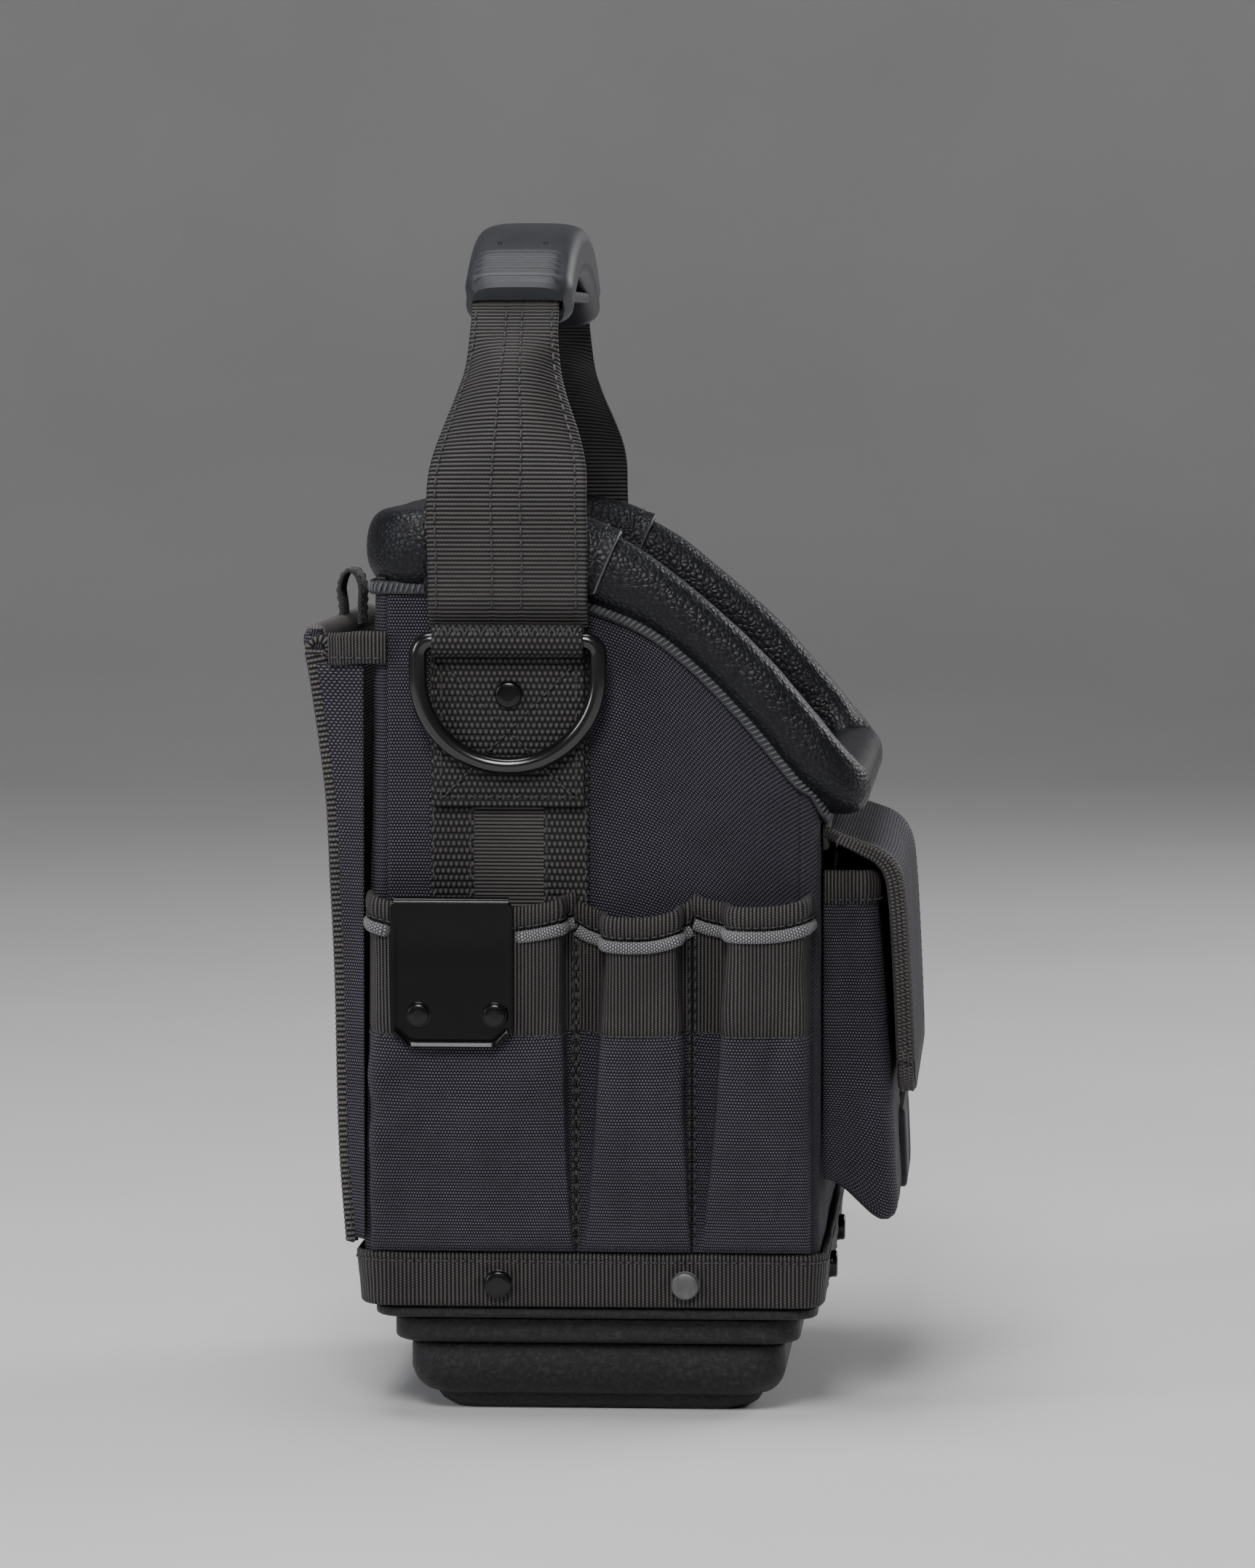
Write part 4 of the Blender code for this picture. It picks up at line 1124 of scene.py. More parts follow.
WEB_COLS = [(25.4, 13.7, "bead"), (13.7, 11.4, "edge"), (11.4, -10.9, "rib"), (-10.9, -12.8, "edge"), (-12.8, -25.4, "bead")]
for s, label in ((-1, "left"), (1, "right")):
    d0, d1 = BODY_X + GAP, BODY_X + GAP + WEB_T
    ys = []
    for a, b, kind in WEB_COLS:
        ys += steps(a, b, 0.46)[: None if a < -12 else -1]
    zs = steps(56.0, 152.0, 8.0) + steps(152.5, 202.0, 0.46) + steps(204.0, 262.0, 6.0)

    def kind_at(o):
        for a, b, kind in WEB_COLS:
            if o <= a + 1e-6 and o >= b - 1e-6:
                return kind
        return "bead"

    kinds = [kind_at((ys[i] + ys[min(i + 1, len(ys) - 1)]) / 2) for i in range(len(ys))]
    rows = []
    for z in zs:
        fine = 152 < z < 203
        ring = []
        for o in ys:
            edge = min(25.4 - o, o + 25.4)
            d = d1 - 0.5 * math.exp(-((edge / 0.5) ** 2))
            if fine:
                kind = kind_at(o)
                if kind == "bead":
                    d += 0.42 * (weave("bead", o, z, 1.7, 2.2) - 0.5)
                elif kind == "rib":
                    d += 0.26 * (weave("rib", o, z, 0.9, 1.2) - 0.6) - 0.15
                else:
                    d += 0.3 * (hump(z / 2.2, 0.7) - 0.6)
            ring.append(Vector((s * d, STRAP_Y + o, z)))
        ring += [Vector((s * d0, STRAP_Y - 25.4, z)), Vector((s * d0, STRAP_Y + 25.4, z))]
        rows.append(ring)
    us = list(ys) + [ys[-1] - 1.7, ys[0] + 1.7, ys[0]]
    n = len(ys)
    web = piece(f"side_web_{label}", rows, [M["web_side"], M["web_rib"]], us=us, vs=zs,
                mat_of=lambda i, k: 1 if k < n and kinds[min(k, n - 1)] == "rib" else 0)
    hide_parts(f"side_webbing_{label}")
    parts = []
    for o in (12.5, -11.9, 24.3, -24.3):
        parts += stitches([(s * d1, STRAP_Y + o, z) for z in (150, 160, 180, 198)], (s, 0, 0), pitch=3.0, radius=0.36)
    join_meshes(f"side_web_thread_{label}", parts, M["thread"])


# ---------------------------------------------------------------- webbing folded round the D-ring's bar
def loop_section():
    pts = [(PATCH_D1, PATCH_LOW), (PATCH_D1, 246.0), (PATCH_D1 + 0.1, 247.4)]
    for a in range(-115, 181, 9):
        r = math.radians(a)
        pts.append((BAR_D + 5.2 * math.cos(r), BAR_Z + 5.2 * math.sin(r)))
    pts += [(PATCH_D0, 249.5), (PATCH_D0, PATCH_LOW)]
    dense = []
    for a, b in zip(pts, pts[1:]):
        a, b = Vector((a[0], a[1], 0)), Vector((b[0], b[1], 0))
        k = max(1, math.ceil((b - a).length / 0.45))
        dense += [a.lerp(b, i / k) for i in range(k)]
    dense.append(Vector((pts[-1][0], pts[-1][1], 0)))
    return dense


SECTION = loop_section()
runs = [0.0]
for a, b in zip(SECTION, SECTION[1:]):
    runs.append(runs[-1] + (b - a).length)
FACE_END = next(i for i, p in enumerate(SECTION) if p.x < BAR_D and p.y > BAR_Z and i > 20)
for s, label in ((-1, "left"), (1, "right")):
    rows = []
    ys = steps(24.0, -24.0, 0.45)
    for o in ys:
        edge = min(24.0 - o, o + 24.0)
        soft = 1 - 0.55 * math.exp(-((edge / 0.6) ** 2))
        ring = []
        for i, p in enumerate(SECTION):
            a, b = SECTION[max(0, i - 1)], SECTION[min(len(SECTION) - 1, i + 1)]
            t = (b - a).normalized()
            n = Vector((t.y, -t.x, 0))
            lift = 0.0
            if i <= FACE_END:
                lift = 0.46 * (weave("bead", o, runs[i], 1.8, 2.08) * soft - 0.55)
                if runs[i] < 50:
                    cx, cz = o / 21.5, (PATCH_LOW + runs[i] - 221.5) / 21.5
                    for line in (cz - cx, cz + cx):
                        lift -= 0.28 * math.exp(-((line * 21.5 / 1.1) ** 2))
                    lift -= 0.3 * math.exp(-(((runs[i] - 3.2) / 0.8) ** 2))
            q = p + n * lift
            ring.append(Vector((s * q.x, STRAP_Y + o, q.y)))
        # inner bore for the bar: left out, this loop adds no points
        for k in range(10):
            r = math.radians(205 - 320 * k / 9)
            ring.append(Vector((s * (BAR_D + 3.3 * math.cos(r)), STRAP_Y + o, BAR_Z + 3.3 * math.sin(r)))) if False else None
        ring = [q for q in ring if q is not None]
        rows.append(ring)
    us = runs + [runs[-1] + 3.0]
    patch = piece(f"ring_patch_{label}", rows, M["web_bead"], us=us, vs=ys, swap=True)
    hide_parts(f"d_ring_loop_{label}")
    parts = []
    face = PATCH_D1 + 0.05

    def on_face(o, z):
        return Vector((s * face, STRAP_Y + o, z))

    for o0, z0, o1, z1 in ((20.5, 243.0, -20.5, 201.5), (-20.5, 243.0, 20.5, 201.5)):
        parts += stitches([on_face(lerp(o0, o1, t), lerp(z0, z1, t)) for t in (0, 0.25, 0.5, 0.75, 1)], (s, 0, 0), pitch=2.7, radius=0.4)
    for z in (201.3,):
        parts += stitches([on_face(22, z), on_face(-22, z)], (s, 0, 0), pitch=2.9, radius=0.4)
    for o in (21.6, -21.6):
        parts += stitches([on_face(o, 201), on_face(o, 244)], (s, 0, 0), pitch=2.9, radius=0.36)
    # zigzag row that closes the fold
    zig = []
    for k in range(34):
        a, b = lerp(22.5, -22.5, k / 34), lerp(22.5, -22.5, (k + 0.8) / 34)
        za, zb = (2.0, 4.6) if k % 2 else (4.6, 2.0)
        pts = []
        for j in range(4):
            t = j / 3
            z = BAR_Z + lerp(za, zb, t)
            d = BAR_D + math.sqrt(max(0.0, 5.2**2 - (z - BAR_Z) ** 2)) + 0.12
            pts.append(Vector((s * d, STRAP_Y + lerp(a, b, t), z)))
        zig.append(tube_part(pts, 0.3, 5, 0, 0.8, normal=(s, 0, 0.5)))
    join_meshes(f"ring_patch_thread_{label}", parts + zig, M["thread"])


# ---------------------------------------------------------------- D-rings
def d_path():
    pts = []
    corner = 4.5
    for k in range(9):
        a = math.radians(90 * (1 - k / 8))
        pts.append((RING_R - corner + corner * math.cos(a), BAR_Z - corner + corner * math.sin(a)))
    for k in range(65):
        a = -math.pi * k / 64
        pts.append((RING_R * math.cos(a), RING_C + RING_R * math.sin(a)))
    for k in range(9):
        a = math.radians(180 - 90 * k / 8)
        pts.append((-RING_R + corner + corner * math.cos(a), BAR_Z - corner + corner * math.sin(a)))
    for x in steps(-RING_R + corner, RING_R - corner, 4.0)[1:-1]:
        pts.append((x, BAR_Z))
    return pts


for s, label in ((-1, "left"), (1, "right")):
    path = [Vector((s * BAR_D, STRAP_Y + y, z)) for y, z in d_path()]
    n = len(path)
    rows = []
    for i, p in enumerate(path):
        t = (path[(i + 1) % n] - path[i - 1]).normalized()
        side = t.cross(Vector((1, 0, 0)))
        rows.append([p + (Vector((1, 0, 0)) * math.cos(w) + side * math.sin(w)) * WIRE_R for w in (math.tau * k / 24 for k in range(24))])
    ring = piece(f"wire_ring_{label}", rows, M["ring"], body=f"ring_{label}", close=True)
    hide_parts(f"d_ring_{label}")

# ---------------------------------------------------------------- handle straps
STRAP_PATH = [(101.3, 255.7), (103.3, 258.3), (105.3, 261.2), (106.9, 265.4), (107.75, 272.5), (108.15, 282.5)]
STRAP_PATH += [(107.6, 296.0), (104.6, 309.8), (100.2, 320.0), (95.0, 329.8), (88.2, 339.4), (79.8, 347.8)]
STRAP_PATH += [(72.0, grip_z(72.0)), (66.0, grip_z(66.0)), (60.0, grip_z(60.0))]


def fold(z, t):
    """How far the strap's edges turn in where it gathers towards the grip."""
    return 6.5 * smooth((z - 298) / 34) * (1 - smooth((z - 338) / 12)) * abs(t) ** 2.6


def strap_half(z, d):
    return 14.0 if d < 73 else strap_width(z) / 2


centre = spline([(d, 0, z) for d, z in STRAP_PATH], 0.355)
runs = [0.355 * i for i in range(len(centre))]
cols = [k / 32 for k in range(-32, 33)]
for s, label in ((-1, "left"), (1, "right")):
    rows = []
    for i, c in enumerate(centre):
        a, b = centre[max(0, i - 3)], centre[min(len(centre) - 1, i + 3)]
        t = (b - a).normalized()
        n = Vector((t.z, 0, -t.x))
        half = strap_half(c.z, c.x)
        ring = []
        for q in cols:
            rib = 0.34 * (weave("rib", q * half, runs[i], 1.1, 1.42) - 0.55)
            for line in (22.7, 4.9, -4.4, -21.8):
                rib -= 0.22 * math.exp(-(((q * 25.4 - line) / 0.7) ** 2))
            edge = 0.35 * math.exp(-(((1 - abs(q)) * 25.4 / 0.8) ** 2))
            p = Vector((c.x, 0, c.z)) + n * (STRAP_T / 2 - 0.1 + rib - edge - fold(c.z, q))
            sway = 0.5 * wave((c.z, q * 8, 3), 22, 4.0) * smooth((c.z - 262) / 10) * (1 - smooth((c.z - 335) / 10))
            ring.append(Vector((s * p.x, STRAP_Y + q * half + sway, p.z)))
        for q in cols[::-1]:
            rib = 0.2 * (weave("rib", q * half, runs[i], 1.1, 1.42) - 0.5)
            p = Vector((c.x, 0, c.z)) - n * (STRAP_T / 2 - 0.15 + rib + fold(c.z, q))
            sway = 0.5 * wave((c.z, q * 8, 3), 22, 4.0) * smooth((c.z - 262) / 10) * (1 - smooth((c.z - 335) / 10))
            ring.append(Vector((s * p.x, STRAP_Y + q * half + sway, p.z)))
        rows.append(ring)
    us = [25.4 * q for q in cols] + [27.9 + 25.4 * (1 - q) for q in cols[::-1]]
    us = [25.4 * q for q in cols] + [25.4 * q for q in cols[::-1]] + [-25.4]
    strap = piece(f"carry_strap_{label}", rows, M["web_fine"], body=None, us=us, vs=runs)
    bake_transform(strap)
    if s < 0:
        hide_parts("handle_strap")
    parts = []
    for line in (22.7, 4.9, -4.4, -21.8):
        q = line / 25.4
        pts = []
        for i in range(20, len(centre) - 44, 6):
            c = centre[i]
            a, b = centre[i - 3], centre[i + 3]
            t = (b - a).normalized()
            n = Vector((t.z, 0, -t.x))
            p = Vector((c.x, 0, c.z)) + n * (STRAP_T / 2 - 0.1 - fold(c.z, q))
            sway = 0.5 * wave((c.z, q * 8, 3), 22, 4.0) * smooth((c.z - 262) / 10) * (1 - smooth((c.z - 335) / 10))
            pts.append(Vector((s * p.x, STRAP_Y + q * strap_half(c.z, c.x) + sway, p.z)))
        parts += stitches(pts, (s, 0, 0.15), pitch=3.8, radius=0.4)
    sewn = join_meshes(f"carry_strap_thread_{label}", parts, M["thread"], body=None)
    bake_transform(sewn)


# ---------------------------------------------------------------- moulded grip
def grip_frame(x):
    slope = (grip_z(x + 0.5) - grip_z(x - 0.5))
    n = Vector((-slope, 0, 1)).normalized()
    return Vector((x, STRAP_Y - 0.8, grip_z(x))), n, Vector((n.z, 0, -n.x))


def grip_ring(x, hw, hh, p, push=None, count=56):
    c, n, t = grip_frame(x)
    ring = []
    for k in range(count):
        a = math.tau * k / count
        q, r = math.cos(a), math.sin(a)
        y, h = math.copysign(hw * abs(q) ** p, q), math.copysign(hh * abs(r) ** p, r)
        if push:
            dy, dh = push(x, y, h)
            y, h = y + dy, h + dh
        ring.append(c + Vector((0, y, 0)) + n * h)
    return ring


RIDGES = [70.2 - 3.1 * k for k in range(5)]


def grip_push(x, y, h):
    """Raised ribs across the top near each end, a parting line along the sides, finger scallops below."""
    dy = dh = 0.0
    if h > 4:
        for r in RIDGES_X:
            ridge = math.exp(-(((abs(x) - r) / 0.62) ** 4)) * smooth((13.6 - abs(y)) / 1.2)
            dh += 0.85 * ridge
        # shallow panel that frames the ribs
        if abs(x) > RIDGES_X[-1] - 4:
            dh -= 0.3 * smooth((abs(x) - RIDGES_X[-1] + 4) / 2) * smooth((15 - abs(y)) / 1.0) * smooth((RIDGES_X[0] + 4 - abs(x)) / 2)
    if abs(h) < 3:
        dy -= math.copysign(0.35 * math.exp(-((h / 0.5) ** 2)), y)
    if h < -4:
        dh += 0.9 * (0.5 + 0.5 * math.cos(math.tau * x / 23.0)) * smooth((58 - abs(x)) / 10) * smooth((14 - abs(y)) / 5)
    return dy, dh


RIDGES_X = [69.0, 65.7, 62.4, 59.3, 56.0]
rows = []
xs = []
x = -GRIP_HALF
while x <= GRIP_HALF + 1e-6:
    xs.append(x)
    near = 50 < abs(x) < 68
    x += 0.35 if near else (0.5 if abs(x) > 67 else 1.6)
if xs[-1] < GRIP_HALF:
    xs.append(GRIP_HALF)
for x in xs:
    end = clamp((abs(x) - GRIP_HALF + 5.5) / 5.5)
    hw = GRIP_W / 2 - 2.9 * end**1.6 - 0.35 * math.exp(-(((abs(x) - 63.5) / 0.7) ** 2)) * 0
    hh = GRIP_T / 2 - 2.0 * end**2
    rows.append(grip_ring(x, hw, hh, 0.5, grip_push))
inner = [grip_ring(x, 15.0, 2.3, 0.3) for x in (GRIP_HALF, GRIP_HALF - 6, -GRIP_HALF + 6, -GRIP_HALF)]
grip = piece("moulded_grip", rows + inner, M["rubber"], body="handle", close=True, angle=50)
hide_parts("handle_grip")
parts = []
for sx in (-1, 1):
    for o in (7.4, -7.4):
        c, n, t = grip_frame(sx * 47.0)
        parts.append(disc(c + Vector((0, o, 0)) + n * (GRIP_T / 2 - 0.25), n, [(0, 0.8), (0.3, 0.8), (0.45, 0.55)], 16))
join_meshes("grip_pips", parts, M["metal"], body="handle")


# ---------------------------------------------------------------- side pockets
SEAM_Y = (5.9, -31.4)
POCKET_SPECS = {  # rear end, front end, rim height, sag of the rim
    "rear": (5.9, 71.9, 166.4, 4.6),
    "middle": (-31.4, 5.9, 163.8, 5.0),
    "front": (-69.6, -31.4, 167.3, 3.4),
}
BAND_LINE = 125.5
BIND = 7.4


PLEAT = {(5.9, 1): (1.2, 4.2), (5.9, -1): (3.4, 10.6), (-31.4, 1): (0.8, 4.2), (-31.4, -1): (4.0, 12.6)}


def gap_half(z, seam, side):
    """How far a pocket's face stays from the pleat's seam; pleats narrow towards the base."""
    low, high = PLEAT[seam, side]
    return lerp(low, high, clamp((z - 55) / 95) ** 0.9)


def pocket_curve(z, label, depth):
    """Plan of a pocket's cloth as (distance from the middle, y) pairs, front end first."""
    y0, y1, rim, sag = POCKET_SPECS[label]
    b = depth
    base = POCKET_D - 0.9
    pts = []
    if label == "front":
        pts += [(base + 1.4, y0), (POCKET_D + 0.3 * b, y0 + 0.5), (POCKET_D + 0.72 * b, y0 + 1.3), (POCKET_D + b - 0.6, y0 + 3.6)]
    else:
        g = gap_half(z, y0, 1)
        pts += [(base + 0.4, y0 + 0.1), (base + 1.2, y0 + 0.4 * g), (base + 2.0, y0 + 0.84 * g), (POCKET_D + 0.45 * b, y0 + 0.94 * g - 0.3),
                (POCKET_D + 0.8 * b, y0 + 0.97 * g - 0.1), (POCKET_D + b - 0.7, y0 + g + 1.3)]
    mid = (y0 + y1) / 2
    pts.append((POCKET_D + b + 0.1, lerp(pts[-1][1], mid, 0.45)))
    pts.append((POCKET_D + b + 0.3, mid))
    if label == "rear":
        end = [(POCKET_D + b - 0.6, y1 - 5.0), (POCKET_D + 0.72 * b, y1 - 1.6), (POCKET_D + 0.3 * b, y1 - 0.4), (base - 0.6, y1)]
    else:
        g = gap_half(z, y1, -1)
        end = [(POCKET_D + b - 0.7, y1 - g - 1.3), (POCKET_D + 0.8 * b, y1 - 0.97 * g + 0.1), (POCKET_D + 0.45 * b, y1 - 0.94 * g + 0.3),
               (base + 2.0, y1 - 0.84 * g), (base + 1.2, y1 - 0.4 * g), (base + 0.4, y1 - 0.1)]
    pts.append((POCKET_D + b + 0.1, lerp(mid, end[0][1], 0.55)))
    return pts + end


def pocket_depth(z, rim):
    t = (z - POCKET_LOW) / (rim - POCKET_LOW)
    return lerp(2.2, POCKET_BULGE, math.sin(min(1.0, max(0.0, t) * 1.15) * math.pi / 2) ** 0.75)


NCOL = 96


def pocket_line(z, label):
    rim = POCKET_SPECS[label][2]
    pts = [(d, y, 0) for d, y in pocket_curve(z, label, pocket_depth(min(z, rim), rim))]
    c = spline(pts, 0.6)
    runs = [0.0]
    for a, b in zip(c, c[1:]):
        runs.append(runs[-1] + (b - a).length)
    out, j = [], 0
    for k in range(NCOL + 1):
        r = runs[-1] * k / NCOL
        while j < len(runs) - 2 and runs[j + 1] < r:
            j += 1
        out.append(c[j].lerp(c[j + 1], clamp((r - runs[j]) / max(1e-9, runs[j + 1] - runs[j]))))
    return out, runs[-1]


def rim_lift(y, label):
    y0, y1, rim, sag = POCKET_SPECS[label]
    return sag * abs((y - (y0 + y1) / 2) / ((y1 - y0) / 2)) ** 2.6


def folds(label, s, y, z, face):
    """Creases and slack of a pocket's cloth, as an outward lift."""
    lift = 1.0 * wave((s * 40, y, z * 0.45), 14, 2.0 + s) + 0.35 * wave((s * 40, y, z), 7, 9.0)
    lift += 1.1 * wave((s * 9, y * 0.6, z * 0.8), 30, 4.0 + s)
    low = 1 - smooth((z - BAND_LINE) / 8)
    if label == "rear":
        for c, amp, wid in ((58.0, 1.5, 3.6), (38.0, 1.0, 4.5), (70.0, -0.9, 5.0)):
            q = (z - 112) + (y - c) * 0.9
            lift -= amp * math.exp(-((q / wid) ** 2)) * low * smooth((y - 12) / 20)
        lift += 0.8 * math.exp(-(((z - 96 + (y - 50) * 0.5) / 12) ** 2)) * low
    elif label == "front":
        t = clamp((z - 112) / 36)
        lift -= 1.5 * math.exp(-(((y - lerp(-55.5, -66.5, t)) / 3.0) ** 2)) * smooth((z - 104) / 14) * smooth((152 - z) / 10)
        t = clamp((z - 56) / 32)
        lift -= 1.6 * math.exp(-(((y - lerp(-58.5, -66.0, t)) / 2.4) ** 2)) * smooth((96 - z) / 12)
    else:
        lift -= 0.8 * math.exp(-(((y + 14 + 0.10 * (z - 100)) / 3.2) ** 2)) * low
    lift -= 0.5 * math.exp(-(((z - BAND_LINE) / 1.0) ** 2))
    if lift < -0.5:
        lift = -0.5 - 0.35 * (1 - math.exp((lift + 0.5) / 0.35))
    if lift > 0.9:
        lift = 0.9 + 0.5 * (1 - math.exp((0.9 - lift) / 0.5))
    return lift * face


def pocket_zs(rim):
    return [54.6, 55.0, 55.8, 57.2] + steps(59.5, BAND_LINE - 1.5, 2.6) + [BAND_LINE - 0.7, BAND_LINE, BAND_LINE + 0.7] + steps(BAND_LINE + 1.5, rim - 1.2, 2.2)


for side, s in (("left", -1), ("right", 1)):
    for label in ("rear", "middle", "front"):
        y0, y1, rim, sag = POCKET_SPECS[label]
        zs = pocket_zs(rim)
        lines = [pocket_line(z, label) for z in zs]
        top_line, top_run = pocket_line(rim, label)
        width = lines[len(lines) // 2][1]
        # outward normal in plan at each column
        cols = []
        for k in range(NCOL + 1):
            ring = []
            for i, z in enumerate(zs):
                line = lines[i][0]
                p = line[k]
                a, b = line[max(0, k - 1)], line[min(NCOL, k + 1)]
                t = (b - a).normalized()
                n = Vector((t.y, -t.x, 0))
                depth_share = clamp((p.x - POCKET_D) / 7.0)
                lift = folds(label, s, p.y, z, depth_share * smooth((z - 55) / 12))
                if i < 3:
                    p = Vector((lerp(POCKET_D - 1.0, p.x, i / 3), p.y, 0))
                share = (z - 55) / (rim - 55)
                q = p + n * lift
                ring.append(Vector((s * q.x, q.y, z + rim_lift(p.y, label) * clamp(share) ** 3)))
            back = []
            for i in range(len(zs) - 1, 1, -3):
                z = zs[i]
                line = lines[i][0]
                p = line[k]
                a, b = line[max(0, k - 1)], line[min(NCOL, k + 1)]
                t = (b - a).normalized()
                n = Vector((t.y, -t.x, 0))
                share = (z - 55) / (rim - 55)
                q = p - n * 1.5
                back.append(Vector((s * max(q.x, POCKET_D - 2.6 + 0.2), q.y, z + rim_lift(p.y, label) * clamp(share) ** 3)))
            cols.append(ring + back)
        n_out = len(zs)
        us = list(zs) + [zs[-1] + 2 + 2.5 * i for i in range(len(cols[0]) - n_out + 1)]
        vs = [width * k / NCOL for k in range(NCOL + 1)]

        def mat_of(i, k, n_out=n_out, zs=zs, lines=lines):
            mid = lines[len(zs) // 2][0]
            deep = mid[i].x < POCKET_D + 8.0
            if k >= n_out - 1:
                return 3
            if zs[k] >= BAND_LINE - 0.2:
                return 1
            # The deep pleat columns take the lighter nylon copy: painted light in the recess
            return 2 if deep and zs[k] < BAND_LINE - 1 else 0

        cloth_piece = piece(f"pocket_{side}_{label}", cols, [M["nylon"], M["band"], M["nylon_dark"], M["lining"]],
                            us=us, vs=vs, swap=True, mat_of=mat_of)
        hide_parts(f"side_pocket_{side}_{label}")
        # rolled binding over the free edge
        rows = []
        for k in range(NCOL + 1):
            p = top_line[k]
            a, b = top_line[max(0, k - 1)], top_line[min(NCOL, k + 1)]
            t = (b - a).normalized()
            n = Vector((t.y, -t.x, 0))
            z0 = rim + rim_lift(p.y, label) - BIND / 2
            sway = 0.3 * wave((s * 3, p.y, 5), 7, 1.0)
            rib = 0.16 * (hump(width * k / NCOL / 1.13, 0.8) - 0.5)
            ring = []
            for j in range(18):
                a = math.tau * j / 18
                c, q = math.cos(a), math.sin(a)
                o = math.copysign(1.55 * abs(c) ** 0.85, c) + (rib + 0.15 if c > 0 else 0)
                o -= 0.35 * math.exp(-(((q + 0.72) / 0.14) ** 2)) if c > 0 else 0
                h = math.copysign((BIND / 2) * abs(q) ** 0.9, q)
                v = p + n * (o + sway - 0.35)
                ring.append(Vector((s * v.x, v.y, z0 + h)))
            rows.append(ring)
        binding = piece(f"pocket_binding_{side}_{label}", rows, M["band"], vs=[width * k / NCOL for k in range(NCOL + 1)], swap=True)
        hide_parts(f"side_pocket_binding_{side}_{label}")
        # piping, stitch rows
        pip, row1, row2 = [], [], []
        for k in range(1, NCOL):
            p = top_line[k]
            a, b = top_line[k - 1], top_line[k + 1]
            t = (b - a).normalized()
            n = Vector((t.y, -t.x, 0))
            lift = rim_lift(p.y, label)
            v = p + n * (0.75 + 0.3 * wave((s, p.y, 2), 9, 3.0))
            if s < 0 and label == "rear":
                v.x -= 3.2 * smooth((p.y - 22.5) / 2.0) * smooth((66 - p.y) / 2.0)
            pip.append(Vector((s * v.x, v.y, rim + lift * 0.95 - BIND - 2.3)))
            v = p + n * 1.0
            row1.append(Vector((s * v.x, v.y, rim + lift - BIND + 0.75)))
            i = zs.index(BAND_LINE)
            line = lines[i][0]
            p = line[k]
            a, b = line[k - 1], line[k + 1]
            t = (b - a).normalized()
            n = Vector((t.y, -t.x, 0))
            face = clamp((p.x - POCKET_D) / 7.0)
            v = p + n * (folds(label, s, p.y, BAND_LINE, face) + 0.15)
            row2.append(Vector((s * v.x, v.y, BAND_LINE)))
        a, b = 0, len(pip) - 1
        join_meshes(f"pocket_piping_{side}_{label}", [tube_part(pip[a:b + 1], 1.3, 16, normal=(0, 0, 1), squash=1.5)], M["piping"])
        parts = stitches(row1[a:b + 1], lambda q: Vector((s, 0, 0)), pitch=2.6, radius=0.3)
        parts += stitches(row2[a:b + 1], lambda q: Vector((s, 0, 0)), pitch=2.4, radius=0.34)
        join_meshes(f"pocket_thread_{side}_{label}", parts, M["thread"])
    parts = []
    for seam in SEAM_Y:
        d = POCKET_D + 0.2
        parts += stitches([(s * d, seam + 0.9, z) for z in steps(57, 156, 8)], (s, 0, 0), pitch=3.3, radius=0.42)
        parts += stitches([(s * d, seam - 0.9, z) for z in steps(57, 156, 8)], (s, 0, 0), pitch=3.3, radius=0.42)
    join_meshes(f"pocket_seam_thread_{side}", parts, M["thread"])


# ---------------------------------------------------------------- tape clip
def clip_face(z):
    return curve_table([(122.0, 112.9), (145.0, 113.4), (160.0, 113.9), (168.4, 115.4)], z)


def rounded_outline():
    """Half outlines of the plate at each height: (z, rear y, front y)."""
    y0, y1, z0, z1, cut = 24.8, 63.8, 122.0, 168.4, 5.5
    out = []
    for z in [z0, z0 + 0.35, z0 + 0.9] + steps(z0 + 1.8, z1 - 1.2, 1.2) + [z1 - 0.5, z1]:
        inset = max(0.0, cut - (z - z0))
        inset += 0.6 * math.exp(-(((z - z0) / 0.5) ** 2))
        top = 0.9 * math.exp(-(((z1 - z) / 0.6) ** 2))
        out.append((z, y0 + inset + top, y1 - inset - top))
    return out


rows = []
T = 1.8
for z, a, b in rounded_outline():
    ys = [lerp(a, b, t) for t in (0, 0.012, 0.03, 0.05, 0.08, 0.12, 0.2, 0.3, 0.4, 0.5, 0.6, 0.7, 0.8, 0.88, 0.92, 0.95, 0.97, 0.988, 1)]
    d = clip_face(z)
    ring = []
    for y in ys:
        e = min(y - a, b - y)
        ez = min(z - 122.0, 168.4 - z)
        lip = 0.8 * math.exp(-((min(e, ez + 0.6) / 1.7) ** 6))  # raised border
        ease = 0.6 * math.exp(-((e / 0.35) ** 2))
        ring.append(Vector((-(d + T - 0.45 + lip - ease * 0.6), y, z)))
    for y in ys[::-1]:
        ring.append(Vector((-d, y, z)))
    rows.append(ring)
# folded top edge that hooks over the pocket's binding
hook = []
for k in range(1, 9):
    r = math.pi * k / 8
    hook.append((clip_face(168.4) + T / 2 - 1.6 + (T / 2 + 1.3) * math.cos(r) * 0.9, 168.4 + 1.0 * math.sin(r)))
plate = piece("clip_plate", rows, M["clip"], angle=40)
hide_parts("tape_clip")
parts = []
for y in (55.0, 30.7):
    c = Vector((-(clip_face(132.5) + T - 0.5), y, 132.5))
    parts.append(disc(c, (-1, 0, 0), [(0, 4.1), (0.25, 4.1), (0.45, 3.9), (0.5, 3.55), (1.2, 3.5), (1.65, 3.3), (1.85, 2.9), (1.9, 1.5)], 44))
r = join_meshes("clip_rivets", parts, M["metal"], angle=35)
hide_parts("clip_rivet_front", "clip_rivet_rear")
tab = []
